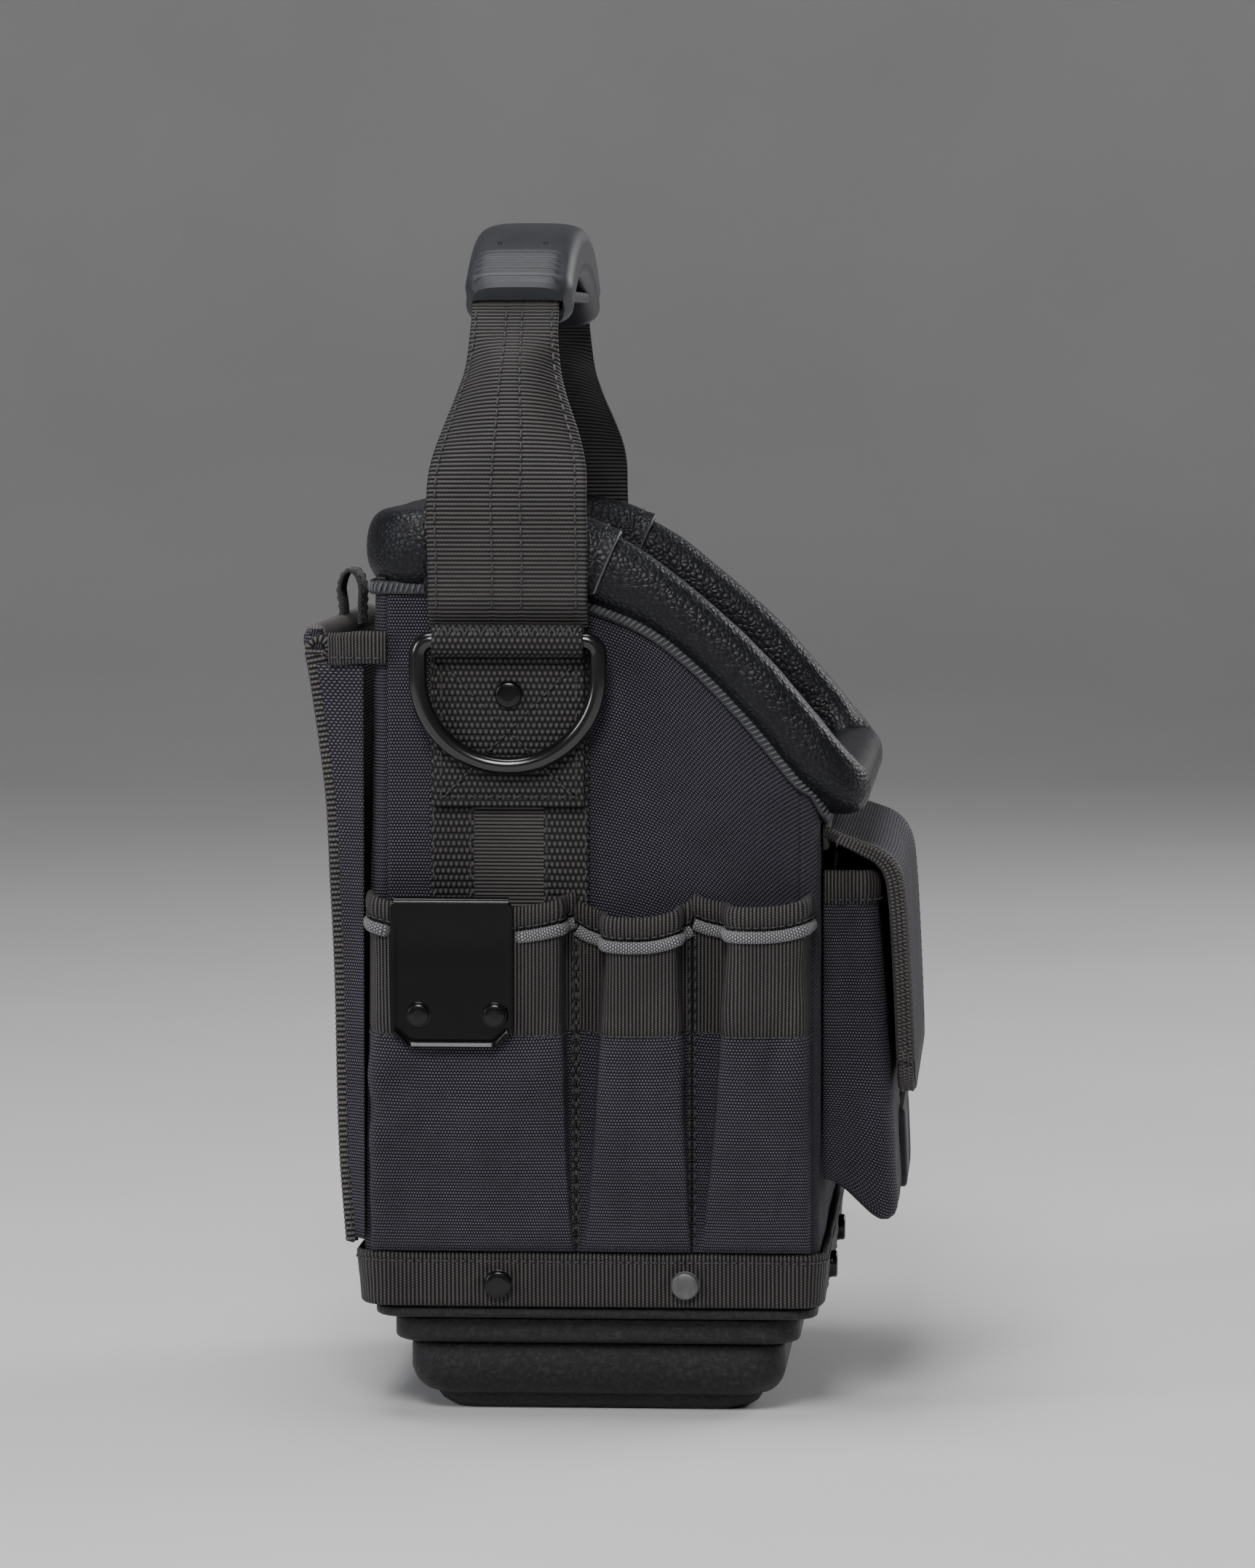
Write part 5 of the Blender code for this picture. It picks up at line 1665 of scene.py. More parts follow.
for k in range(13):
    t = k / 12
    a = math.pi * t
    d = clip_face(168.4) + T / 2 - 1.5 + 1.5 * math.cos(a)
    tab.append((d, 168.2 + 1.3 * math.sin(a)))
tab.append((tab[-1][0] - 0.1, 160.0))
tab = [Vector((-d, 0, z)) for d, z in tab]
rows = []
for i, p in enumerate(tab):
    a, b = tab[max(0, i - 1)], tab[min(len(tab) - 1, i + 1)]
    t = (b - a).normalized()
    n = Vector((t.z, 0, -t.x))
    h = n * 0.7
    rows.append([Vector((p.x, y, p.z)) + h for y in (26.0, 26.4, 62.2, 62.6)] + [Vector((p.x, y, p.z)) - h for y in (62.6, 62.2, 26.4, 26.0)])
piece("clip_hook", rows, M["clip"], angle=40)

# ---------------------------------------------------------------- rivets
RIVET = [(-0.6, 4.6), (0.15, 4.55), (0.2, 4.4), (1.45, 4.4), (1.85, 4.15), (2.1, 3.7), (2.15, 2.0)]
BAND_FACE = BODY_X - tuck(49.0) + GAP + WEB_T + GAP
for s, label in ((-1, "left"), (1, "right")):
    for y, end in ((30.9, "rear"), (-29.2, "front")):
        worn = s < 0 and end == "front"
        r = join_meshes(f"band_rivet_{label}_{end}", [disc((s * BAND_FACE, y, 44.2), (s, 0, 0), RIVET, 48)],
                        M["worn"] if worn else M["metal"], angle=35)
        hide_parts(f"base_rivet_{label}_{end}")
    yf, yr = front_y(49.0) - GAP - WEB_T - GAP, rear_y(49.0) + GAP + WEB_T + GAP
    for y, sign, end in ((yf, -1, "front"), (yr, 1, "back")):
        r = join_meshes(f"band_rivet_{end}_{label}", [disc((s * 45, y, 44.2), (0, sign, 0), RIVET, 48)], M["metal"], angle=35)
        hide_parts(f"base_rivet_{end}_{label}")
    prof = [(-0.9, 4.4), (0.1, 4.4), (0.2, 4.25), (1.25, 4.25), (1.6, 4.0), (1.85, 3.55), (1.9, 2.0)]
    r = join_meshes(f"patch_rivet_{label}", [disc((s * (PATCH_D1 + GAP), STRAP_Y, 233.9), (s, 0, 0), prof, 48)], M["metal"], angle=35)
    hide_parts(f"d_ring_rivet_{label}")

# ---------------------------------------------------------------- moulded base
TRAY = [
    (0.0, FOOT_INSET, 9), (0.35, FOOT_INSET - 0.9, 9.4), (1.2, FOOT_INSET - 2.2, 10), (2.6, FOOT_INSET - 4.0, 10), (4.4, FOOT_INSET - 5.2, 10), (5.2, FOOT_INSET - 5.4, 10),
    (5.7, 7.0, 10), (6.2, 5.4, 10), (6.8, 4.4, 10), (7.9, 3.2, 10), (9.0, 2.3, 10), (10.5, 1.3, 10), (12.0, 0.7, 10),
    (14.5, 0.0, 10), (18.0, 0.0, 10), (21.0, 0.0, 10), (22.2, 0.15, 10), (22.8, 0.5, 10), (23.1, 1.2, 10),
]


def rounded_ring(hx, hy, r, z, seg=10, straight=10):
    pts = []
    corners = ((1, 1, 0), (-1, 1, 90), (-1, -1, 180), (1, -1, 270))
    arcs = []
    for cx, cy, a0 in corners:
        arc = []
        for k in range(seg + 1):
            a = math.radians(a0 + 90 * k / seg)
            arc.append(Vector((cx * (hx - r) + r * math.cos(a), cy * (hy - r) + r * math.sin(a), z)))
        arcs.append(arc)
    for i in range(4):
        pts += arcs[i]
        a, b = arcs[i][-1], arcs[(i + 1) % 4][0]
        pts += [a.lerp(b, k / straight) for k in range(1, straight)]
    return pts


rings = [rounded_ring(MAIN_X - i, MAIN_Y - i, r, z) for z, i, r in TRAY]
for z, hx, hy, r in (
    (23.6, TIER_X - 2.2, TIER_Y - 2.2, 10), (24.2, TIER_X - 0.9, TIER_Y - 0.9, 10), (24.9, TIER_X - 0.25, TIER_Y - 0.25, 10), (25.8, TIER_X, TIER_Y, 10),
    (30.6, TIER_X, TIER_Y, 10), (31.4, TIER_X - 0.2, TIER_Y - 0.2, 10), (31.8, TIER_X - 0.8, TIER_Y - 0.8, 10), (32.1, TIER_X + 0.5, TIER_Y + 0.5, 10),
    (32.6, LIP_X - 1.0, LIP_Y - 1.0, 10), (33.2, LIP_X - 0.25, LIP_Y - 0.25, 10), (34.0, LIP_X, LIP_Y, 10), (35.4, LIP_X, LIP_Y, 10),
    (35.9, LIP_X - 0.2, LIP_Y - 0.2, 10), (36.2, LIP_X - 0.8, LIP_Y - 0.8, 10), (36.2, BODY_X - TUCK - WALL - 0.4, LIP_Y - 4.6, 9),
    (51.4, BODY_X - TUCK - WALL - 0.4, LIP_Y - 4.6, 9), (52.0, BODY_X - TUCK - WALL - 1.0, LIP_Y - 5.2, 9), (52.0, 89.0, 64.6, 7), (51.5, 88.4, 64.0, 7),
    (33.0, 88.4, 64.0, 7), (25.0, 81.4, 57.6, 8), (12.0, 80.0, 56.2, 8), (7.0, 77.0, 53.2, 7), (TRAY_FLOOR, 75.0, 51.2, 6),
):
    rings.append(rounded_ring(hx, hy, r, z))
tray = piece("moulded_base", rings, M["plastic"], angle=42)
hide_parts("base_tray")
rings = [rounded_ring(hx, hy, r, z, 8, 12) for z, hx, hy, r in ((TRAY_FLOOR + GAP, 74.4, 50.6, 6), (8.2, 76.6, 52.8, 7), (8.8, 76.3, 52.5, 7), (9.0, 75.6, 51.8, 7), (9.0, 73.0, 49.0, 7), (8.6, 71.6, 47.8, 7), (9.0, 70.0, 46.4, 7), (9.1, 30, 20, 7))]
floor_pad = piece("floor_pad", rings, M["lining"])
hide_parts("base_floor")


# ---------------------------------------------------------------- webbing band round the foot of the walls
def band_point(st, z, out):
    if st[0] == "side":
        return Vector((st[1] * (BODY_X - tuck(z) + out), st[2], z))
    if st[0] == "corner":
        x, y = corner_point(z, out, st[2], st[3])
        return Vector((st[1] * x, y, z))
    return Vector((st[2], rear_y(z) + out if st[1] else front_y(z) - out, z))


rows, marks = [], []
spots = [(s * BAND_FACE, y, 44.2) for s in (-1, 1) for y in (30.9, -29.2)]
spots += [(s * 45, y, 44.2) for s in (-1, 1) for y in (front_y(49) - 2.3, rear_y(49) + 2.3)]
stations = []
for st in wall_stations():
    stations.append(st)
fine = []
for i, st in enumerate(stations):
    fine.append(st)
    nx = stations[(i + 1) % len(stations)]
    if st[0] == nx[0] == "side" and st[1] == nx[1]:
        fine += [("side", st[1], lerp(st[2], nx[2], t)) for t in (1 / 3, 2 / 3) if abs(nx[2] - st[2]) > 1.5]
    elif st[0] == nx[0] == "end" and st[1] == nx[1]:
        fine += [("end", st[1], lerp(st[2], nx[2], t)) for t in (0.2, 0.4, 0.6, 0.8)]
stations = fine
runs = [0.0]
for i, st in enumerate(stations):
    a, b = band_point(st, 45, 2), band_point(stations[(i + 1) % len(stations)], 45, 2)
    runs.append(runs[-1] + (b - a).length)
zs = [36.9, 37.2, 37.8] + steps(38.6, 52.6, 0.9) + [53.4, 54.0, 54.4]
top_row, low_row = [], []
for i, st in enumerate(stations):
    ring = []
    base = band_point(st, 45, 2)
    rise = 0.35 * wave(base, 16, 6.0)
    for z in zs:
        p = band_point(st, z, 2.0)
        lift = 0.28 * wave(p, 11, 2.2) + 0.16 * wave(p, 5, 4.4) + 0.10 * (hump(runs[i] / 1.3, 0.8) - 0.5)
        for c in spots:
            r = (p - Vector(c)).length
            if r < 14:
                ang = math.atan2(p.z - c[2], (p.x - c[0]) + (p.y - c[1]))
                lift -= 0.7 * math.exp(-(((r - 5.4) / 1.6) ** 2)) * (0.75 + 0.25 * math.cos(7 * ang))
                lift += 0.25 * math.exp(-(((r - 8.5) / 2.0) ** 2)) * math.cos(6 * ang)
        edge = min(z - 36.9, 54.4 - z)
        lift -= 0.8 * math.exp(-((edge / 0.45) ** 2))
        lift -= 0.35 * math.exp(-(((z - 51.6) / 0.45) ** 2))
        share = clamp((z - 45) / 9.4)
        ring.append(band_point(st, z + rise * share, 2.0 + 0.3 + lift))
        if abs(z - 36.9) < 1e-6:
            low = ring[-1]
    row_p = band_point(st, 51.6 + rise * 0.7, 2.25)
    top_row.append(row_p)
    ring.append(band_point(st, 54.0, GAP))
    ring.append(band_point(st, 37.0, GAP))
    rows.append(ring)
us = list(zs) + [56.0, 73.0, 74.0]
band = piece("foot_band", rows, M["band_wide"], close=True, us=us, vs=runs, swap=True)
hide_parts("base_band")


def away(q):
    if abs(q.x) > BODY_X - 4:
        return Vector((math.copysign(1, q.x), 0, 0))
    return Vector((0, math.copysign(1, q.y), 0))


join_meshes("foot_band_thread", stitches(top_row + [top_row[0]], away, pitch=2.8, radius=0.36), M["thread"])


# ---------------------------------------------------------------- rear panel, its edge tape, gussets and loop
def back_inner(z):
    return max(rear_y(z) + 0.5, back_out(z) - table([(56, 4.0), (100, 6.6), (246, 7.4), (254, 4.6)], z))


rows = []
xs = [-BACK_X, -BACK_X + 0.5] + steps(-BACK_X + 2, BACK_X - 2, 3.0) + [BACK_X - 0.5, BACK_X]
zs = steps(56.0, 252.0, 2.6) + [253.0, 254.0]
for x in xs:
    thin = 1.8 * math.exp(-(((BACK_X - abs(x)) / 1.2) ** 2))
    ring = []
    for z in zs:
        p = Vector((x, 0, z))
        puff = 0.9 * wave(p, 60, 5.0) + 0.35 * wave(p, 20, 2.0)
        edge = clamp(min(BACK_X - abs(x), 254 - z, z - 56) / 18)
        ring.append(Vector((x, back_out(z) - thin + (puff - 0.7) * edge, z)))
    for z in zs[::-4]:
        ring.append(Vector((x, back_inner(z) + thin * 0.6 * (z > 90) + 0.25, z)))
    rows.append(ring)
us = list(zs) + [zs[-1] + 4 + 10 * i for i in range(len(rows[0]) - len(zs) + 1)]
panel = piece("rear_board", rows, M["nylon"], vs=xs, us=us, swap=True, angle=55)
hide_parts("back_panel")

# Edge tape: folded over both long edges, curling forward at its top
for s, label in ((-1, "left"), (1, "right")):
    zs = steps(56.5, 246.0, 0.43)
    rows = []
    path = [(back_out(z), z) for z in zs]
    # rolled end
    cy, cz, r0 = back_out(246.0) - 4.2, 247.5, 4.2
    for k in range(1, 44):
        a = math.radians(250 * k / 43)
        r = lerp(r0, 2.6, k / 43)
        path.append((cy + r * math.cos(a), cz + r * math.sin(a)))
    run = [0.0]
    for a, b in zip(path, path[1:]):
        run.append(run[-1] + math.dist(a, b))
    for i, (y, z) in enumerate(path):
        a, b = path[max(0, i - 2)], path[min(len(path) - 1, i + 2)]
        t = Vector((0, b[0] - a[0], b[1] - a[1])).normalized()
        n = Vector((0, t.z, -t.y))
        rib = 0.42 * (hump(run[i] / 1.7, 0.8) - 0.55)
        curl = i > len(zs)
        wide = 7.0 if not curl else 7.0
        low = 3.6 if curl else table([(56, 3.0), (100, 4.8), (246, 6.2)], z)
        section = []
        # outer skin from the back face round the edge to the inner face
        plan = [(wide, 0.55), (wide * 0.72, 0.75), (wide * 0.45, 0.8), (wide * 0.41, 0.45), (wide * 0.36, 0.8), (1.6, 0.85), (0.3, 0.75), (-0.35, 0.25),
                (-0.7, -0.8), (-0.8, -low * 0.38), (-0.62, -low * 0.5), (-0.8, -low * 0.62), (-0.7, -low + 0.8), (-0.2, -low + 0.1), (0.8, -low - 0.1), (3.2, -low + 0.1), (3.4, -low + 0.9)]
        if curl:
            plan = [(wide, 0.55), (wide * 0.72, 0.75), (wide * 0.45, 0.8), (wide * 0.41, 0.5), (wide * 0.36, 0.8), (1.6, 0.85), (0.3, 0.75), (-0.35, 0.25), (-0.75, -0.3),
                    (-0.8, -0.6), (-0.75, -0.9), (-0.7, -1.1), (-0.4, -1.3), (0.0, -1.4), (0.8, -1.4), (3.2, -1.3), (wide, -1.2)]
        for ax, ay in plan:
            grow = rib if -ay < low - 0.5 and ax < wide - 0.5 else 0.0
            edge_out = Vector((-s * -1, 0, 0))
            p = Vector((s * (BACK_X - ax), y, z)) + n * (ay + (grow if ay > 0.2 else 0.0))
            if ay <= 0.2 and ax < 0.1:
                p.x += s * grow * 0.9
            section.append(p)
        rows.append(section)
    tape = piece(f"rear_edge_tape_{label}", rows, M["band_h"], vs=run)
    parts = []
    for off, ax in ((0.42 * 7.0, None),):
        line = [(Vector((s * (BACK_X - 0.41 * 7.0), back_out(z) + 0.55, z))) for z in steps(60, 244, 8)]
        parts += stitches(line, (0, 1, 0), pitch=3.4, radius=0.34)
    line = [Vector((s * (BACK_X + 0.72), back_out(z) - 0.5 * table([(56, 3.0), (100, 4.8), (246, 6.2)], z), z)) for z in steps(60, 244, 8)]
    parts += stitches(line, (s, 0, 0), pitch=3.4, radius=0.34)
    join_meshes(f"rear_edge_thread_{label}", parts, M["thread"])

    # gusset between wall and board
    rows = []
    for z in steps(58.0, 243.0, 4.0):
        y = back_out(z) - 2.6
        ring = []
        for k in range(13):
            t = k / 12
            p = Vector((s * lerp(96.4, 91.6, t), lerp(74.2, y, t), z))
            sag = -1.0 * math.sin(math.pi * t) * (0.6 + 0.4 * wave((z, t * 4, s), 18, 3.0))
            p.x += s * sag * 0.8
            ring.append(p)
        back = [p - Vector((s * 1.1, 0.25, 0)) for p in ring[::-1]]
        rows.append(ring + back)
    # The gusset takes the lighter nylon copy: painted light in the recess
    g = piece(f"rear_gusset_{label}", rows, M["nylon_dark"])
    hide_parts(f"back_gusset_{label}")
    # its taped top end
    plan = spline([(98.4, 66.4, 0), (98.6, 71.5, 0), (96.8, 78.5, 0), (92.9, 85.2, 0)], 0.5)
    rows = []
    for i, p in enumerate(plan):
        a, b = plan[max(0, i - 1)], plan[min(len(plan) - 1, i + 1)]
        t = (b - a).normalized()
        n = Vector((t.y, -t.x, 0))
        rib = 0.2 * (hump(i * 0.5 / 1.6, 0.8) - 0.5)
        dip = -0.8 * smooth((p.y - 74) / 10)
        ring = []
        for j in range(20):
            a = math.tau * j / 20
            c, q = math.cos(a), math.sin(a)
            o = math.copysign(0.95 * abs(c) ** 0.7, c) + (rib if c > 0 else 0) + (0.35 * math.exp(-(((q - 0.62) / 0.3) ** 2)) if c > 0 else 0)
            v = p + n * o
            ring.append(Vector((s * v.x, v.y, 248.6 + dip + math.copysign(5.3 * abs(q) ** 0.8, q))))
        rows.append(ring)
    g = piece(f"rear_gusset_tape_{label}", rows, M["band"], vs=[0.5 * i for i in range(len(rows))], swap=True)
    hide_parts(f"gusset_binding_{label}")
    line = [Vector((s * (p.x + 1.0), p.y + 0.3, 245.2)) for p in plan[2:-2]]
    join_meshes(f"rear_gusset_thread_{label}", stitches(line, (s, 0.4, 0), pitch=2.8, radius=0.32), M["thread"])

# Top edge of the board
line = steps(-BACK_X + 6, BACK_X - 6, 0.45)
rows = []
for x in line:
    rib = 0.3 * (hump(x / 1.7, 0.8) - 0.5)
    ring = []
    for j in range(18):
        a = math.tau * j / 18
        c, q = math.cos(a), math.sin(a)
        ring.append(Vector((x, 90.6 + math.copysign((3.5 + rib) * abs(c) ** 0.8, c), 250.2 + math.copysign((5.0 + (rib if q > 0 else 0)) * abs(q) ** 0.7, q))))
    rows.append(ring)
piece("rear_top_tape", rows, M["band_h"], vs=[x for x in line])
parts = stitches([(x, 94.2, 247.4) for x in steps(-82, 82, 10)], (0, 1, 0), pitch=3.4, radius=0.34)
join_meshes("rear_top_thread", parts, M["thread"])

# Hanging loop
y0, half, foot, top = 87.4, 3.3, 252.0, 270.8
path = [(y0 - half, foot), (y0 - half, 258.0), (y0 - half - 0.2, 263.0)]
rise = top - 0.8 - 262.0
for k in range(1, 10):
    a = math.pi * (1 - k / 10)
    path.append((y0 + half * 1.05 * math.cos(a), 263.0 + (rise - 1.0) * math.sin(a)))
path += [(y0 + half + 0.2, 263.0), (y0 + half - 0.5, 258.0), (y0 + half - 0.8, foot)]
path = spline([(0, y, z) for y, z in path], 0.5)
rows = []
for i, p in enumerate(path):
    a, b = path[max(0, i - 1)], path[min(len(path) - 1, i + 1)]
    t = (b - a).normalized()
    n = Vector((0, -t.z, t.y))
    ring = []
    for x in steps(-10, 10, 1.0):
        e = 0.3 * math.exp(-(((10 - abs(x)) / 0.8) ** 2)) + 0.22 * math.exp(-(((abs(x) - 8.2) / 0.5) ** 2))
        ring.append(p + Vector((x, 0, 0)) + n * (0.85 - e))
    for x in steps(10, -10, 1.0):
        e = 0.3 * math.exp(-(((10 - abs(x)) / 0.8) ** 2))
        ring.append(p + Vector((x, 0, 0)) - n * (0.75 - e))
    rows.append(ring)
loop = piece("hanging_loop", rows, M["tape"], vs=[0.5 * i for i in range(len(rows))])
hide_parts("back_hang_loop")
parts = []
for x in (-8.2, 8.2):
    for sgn in (1, -1):
        line = []
        for i in range(2, len(path) - 2, 3):
            p = path[i]
            t = (path[i + 1] - path[i - 1]).normalized()
            line.append(p + Vector((x, 0, 0)) + Vector((0, -t.z, t.y)) * (0.75 * sgn))
        if sgn > 0:
            parts += stitches(line, lambda q: Vector((0, q.y - y0, (q.z - 263.0) * 0.7 if q.z > 263 else 0.0001)), pitch=2.6, radius=0.3)
join_meshes("hanging_loop_thread", parts, M["thread"])


# ---------------------------------------------------------------- front pocket
def front_plan(inset, seg=10, straight=24):
    """Not used: returns None, no plan is made."""
    return None


def fp_line(zf, inset, n_side=8, n_arc=8, n_front=56):
    """(x, y, outward normal) points round the pocket at front height zf."""
    y0, y1 = FRONT_D, pocket_front(zf) + inset
    hx, r = FRONT_X - inset, 7.0 - min(inset, 2.5)
    pts = []
    for k in range(n_side):
        pts.append((-hx, lerp(y0, y1 + r, k / n_side), Vector((-1, 0, 0))))
    for k in range(n_arc):
        a = math.radians(90 * k / n_arc)
        pts.append((-(hx - r) - r * math.cos(a), y1 + r - r * math.sin(a), Vector((-math.cos(a), -math.sin(a), 0))))
    for k in range(n_front + 1):
        pts.append((lerp(-(hx - r), hx - r, k / n_front), y1, Vector((0, -1, 0))))
    for k in range(1, n_arc + 1):
        a = math.radians(90 - 90 * k / n_arc)
        pts.append((hx - r + r * math.cos(a), y1 + r - r * math.sin(a), Vector((math.cos(a), -math.sin(a), 0))))
    for k in range(1, n_side + 1):
        pts.append((hx, lerp(y1 + r, y0, k / n_side), Vector((1, 0, 0))))
    return pts


FZ = [(62.4, 6.0), (62.7, 3.2), (63.6, 1.4), (65.2, 0.4), (67.5, 0.0)] + [(z, 0.0) for z in steps(70.0, FP_RIM, 2.3)]
plans = [fp_line(max(zf, 63.0), inset) for zf, inset in FZ]
count = len(plans[0])
cols = []
for k in range(count):
    ring = []
    for (zf, inset), plan in zip(FZ, plans):
        x, y, n = plan[k]
        share = (FRONT_D - y) / (FRONT_D - pocket_front(max(zf, 63.0)))
        zb = table([(63, 77), (65.5, 78), (73, 82), (106, 107), (129, 129), (180, 180)], zf)
        z = lerp(zb, zf, smooth(share) if zf < 110 else share)
        p = Vector((x, y, z))
        soft = clamp((z - 64) / 14) * clamp((FRONT_D + 1.5 - y) / 3)
        lift = 0.8 * wave(p, 26, 7.0) + 0.35 * wave(p, 9, 3.0) - 0.5
        if abs(n.x) > 0.5:
            # gathered strip by the wall, valley in front of it, dimple low down
            d = FRONT_D - y
            lift += 0.8 * math.exp(-(((d - 3.2) / 2.2) ** 2)) * (0.7 + 0.3 * math.sin(z * 1.3 + 2 * wave(p, 6, 1)))
            lift -= 1.3 * math.exp(-(((d - 7.6) / 1.5) ** 2))
            lift -= 1.4 * math.exp(-(((z - 92) / 5) ** 2) - (((d - 6) / 4) ** 2))
            lift -= 1.0 * math.exp(-(((d - 10.5 + (z - 166) * 0.05) / 1.1) ** 2)) * smooth((z - 150) / 14)
        else:
            lift -= 0.7 * math.exp(-(((z - 104 - 5 * wave((x, 0, 0), 50, 1)) / 4) ** 2))
        if lift < -0.5:
            lift = -0.5 - 0.4 * (1 - math.exp((lift + 0.5) / 0.4))
        ring.append(p + n * (lift * soft))
    back = []
    for (zf, inset), plan in list(zip(FZ, plans))[:3:-3]:
        x, y, n = plan[k]
        zb = table([(63, 77), (65.5, 78), (73, 82), (106, 107), (129, 129), (180, 180)], zf)
        share = (FRONT_D - y) / (FRONT_D - pocket_front(max(zf, 63.0)))
        z = lerp(zb, zf, share)
        q = Vector((x, y, z)) - n * 2.0
        q.y = min(q.y, FRONT_D - 0.2)
        back.append(q + Vector((0, 0, 1.5 if zf < 70 else 0)))
    cols.append(ring + back)
us = [z for z, i in FZ] + [182 + 6 * i for i in range(len(cols[0]) - len(FZ) + 1)]
nf = len(FZ)
fpocket = piece("front_pouch", cols, [M["nylon"], M["lining"]], us=us, swap=True, mat_of=lambda i, k: 1 if k >= nf - 1 else 0)
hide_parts("front_pocket")

top = fp_line(FP_RIM, 0.0, 14, 12, 120)
rows, run = [], [0.0]
for i, (x, y, n) in enumerate(top):
    if i:
        run.append(run[-1] + math.dist((x, y), top[i - 1][:2]))
for i, (x, y, n) in enumerate(top):
    rib = 0.2 * (hump(run[i] / 1.13, 0.8) - 0.5)
    sway = 0.35 * wave((x, y, 3), 9, 2.0)
    d = FRONT_D - y
    sag = -1.3 * math.exp(-(((d - 9.0) / 2.0) ** 2)) * (abs(n.x) > 0.5)
    ring = []
    for j in range(20):
        a = math.tau * j / 20
        c, q = math.cos(a), math.sin(a)
        o = math.copysign(1.5 * abs(c) ** 0.85, c) + (rib + 0.1 if c > 0 else 0) - (0.4 * math.exp(-(((q + 0.7) / 0.12) ** 2)) if c > 0 else 0)
        ring.append(Vector((x, min(y, FRONT_D - 0.3), FP_RIM - 5.2 + math.copysign(5.6 * abs(q) ** 0.9, q))) + n * (o + sway + sag - 0.3))
    rows.append(ring)
b = piece("front_pouch_binding", rows, M["band"], vs=run, swap=True)
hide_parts("front_pocket_binding")
line = [Vector((x, y, FP_RIM - 9.0)) + n * (1.05 - 1.3 * math.exp(-(((FRONT_D - y - 9.0) / 2.0) ** 2)) * (abs(n.x) > 0.5)) for x, y, n in top[2:-2]]
mid_n = {}
join_meshes("front_pouch_thread", stitches(line, lambda q: Vector((q.x / 90 if abs(q.x) > 80 else 0, -1 if abs(q.x) < 84 else -0.01, 0)), pitch=2.6, radius=0.32), M["thread"])

# Lining that stands up in the pocket's mouth, behind the flap, made near black as painted shade for the dark gap there
rows = []
for x in steps(-83.5, 83.5, 3.0):
    ring = []
    for z in steps(168.0, 183.2, 1.6):
        ring.append(Vector((x, -75.6 - 0.6 * wave((x, z, 2), 16, 4.0) - 0.12 * (z - 168), z)))
    rows.append(ring + [p + Vector((0, 0.8, 0)) for p in ring[::-1]])
piece("front_pouch_shade_sheet", rows, M["lining_dark"])

# Blank badge with a raised border
rows = []
xs = [-30, -29.6, -29.0, -28.2, -27.4, -26.6] + steps(-25, 25, 3.0) + [26.6, 27.4, 28.2, 29.0, 29.6, 30]
for x in xs:
    trim = 3.0 - math.sqrt(max(0.0, 9.0 - (abs(x) - 27.0) ** 2)) if abs(x) > 27 else 0.0
    ring = []
    zs = [lerp(67.5 + trim, 94.0 - trim, t) for t in (0, 0.02, 0.05, 0.09, 0.13, 0.2, 0.35, 0.5, 0.65, 0.8, 0.87, 0.91, 0.95, 0.98, 1)]
    for z in zs:
        e = min(30 - abs(x), z - 67.5 - trim, 94.0 - trim - z)
        face = 1.5 - 0.7 * math.exp(-((e / 0.4) ** 2)) - 0.5 * smooth((e - 1.6) / 0.7)
        ring.append(Vector((x, pocket_front(z) - GAP - face, z)))
    ring += [Vector((x, pocket_front(z) - GAP + 0.6, z)) for z in zs[::-1]]
    rows.append(ring)
badge = piece("blank_badge", rows, M["badge"], angle=40)
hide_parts("front_badge")

# ---------------------------------------------------------------- flap
spine = spline([(0, y, z) for y, z in [(-72.9, 189.6), (-75.4, 188.6)] + FLAP], 1.5)
srun = [0.0]
for a, b in zip(spine, spine[1:]):
    srun.append(srun[-1] + (b - a).length)
total = srun[-1]


def spine_at(r):
    for i in range(len(spine) - 1):
        if r <= srun[i + 1] or i == len(spine) - 2:
            t = clamp((r - srun[i]) / (srun[i + 1] - srun[i]))
            p = spine[i].lerp(spine[i + 1], t)
            a, b = spine[max(0, i - 1)], spine[min(len(spine) - 1, i + 2)]
            g = (b - a).normalized()
            return p, Vector((0, g.z, -g.y))
    return spine[-1], Vector((0, -1, 0))


EDGE = [(0.0, -0.55), (0.12, -0.62), (0.25, -0.2), (0.4, -0.05), (0.55, -0.5), (0.7, -0.12), (0.85, 0.0), (1.0, 0.0)]


def flap_point(q, r, side):
    """q is -1..1 across, r the length down the flap, side +1 the outer face, -1 the inner."""
    radius = 14.0
    x = q * FLAP_X
    over = max(0.0, abs(x) - (FLAP_X - radius))
    length = total - radius + math.sqrt(max(0.0, radius**2 - over**2))
    rr = r * length
    p, n = spine_at(rr)
    out = -n if n.y > 0 else n
    half = lerp(1.4, 2.7, smooth((rr - 3) / 26))
    d = min(FLAP_X - abs(x), length - rr)
    # binding: proud rim with a stitched groove inside it, cloth panel slightly sunk
    rim = 0.35 * smooth((6.5 - d) / 0.6) - 0.35 * math.exp(-(((d - 5.0) / 0.45) ** 2)) - 0.15 * smooth((d - 6.6) / 0.8)
    puff = (0.9 * wave((x, rr, 2), 45, 6.0) + 0.3 * wave((x, rr, 7), 13, 3.0)) * smooth((d - 7) / 14)
    edge = 1.0 * math.exp(-((d / 0.8) ** 2))
    return Vector((x, p.y, p.z)) + out * (side * (half + rim - edge) + puff)


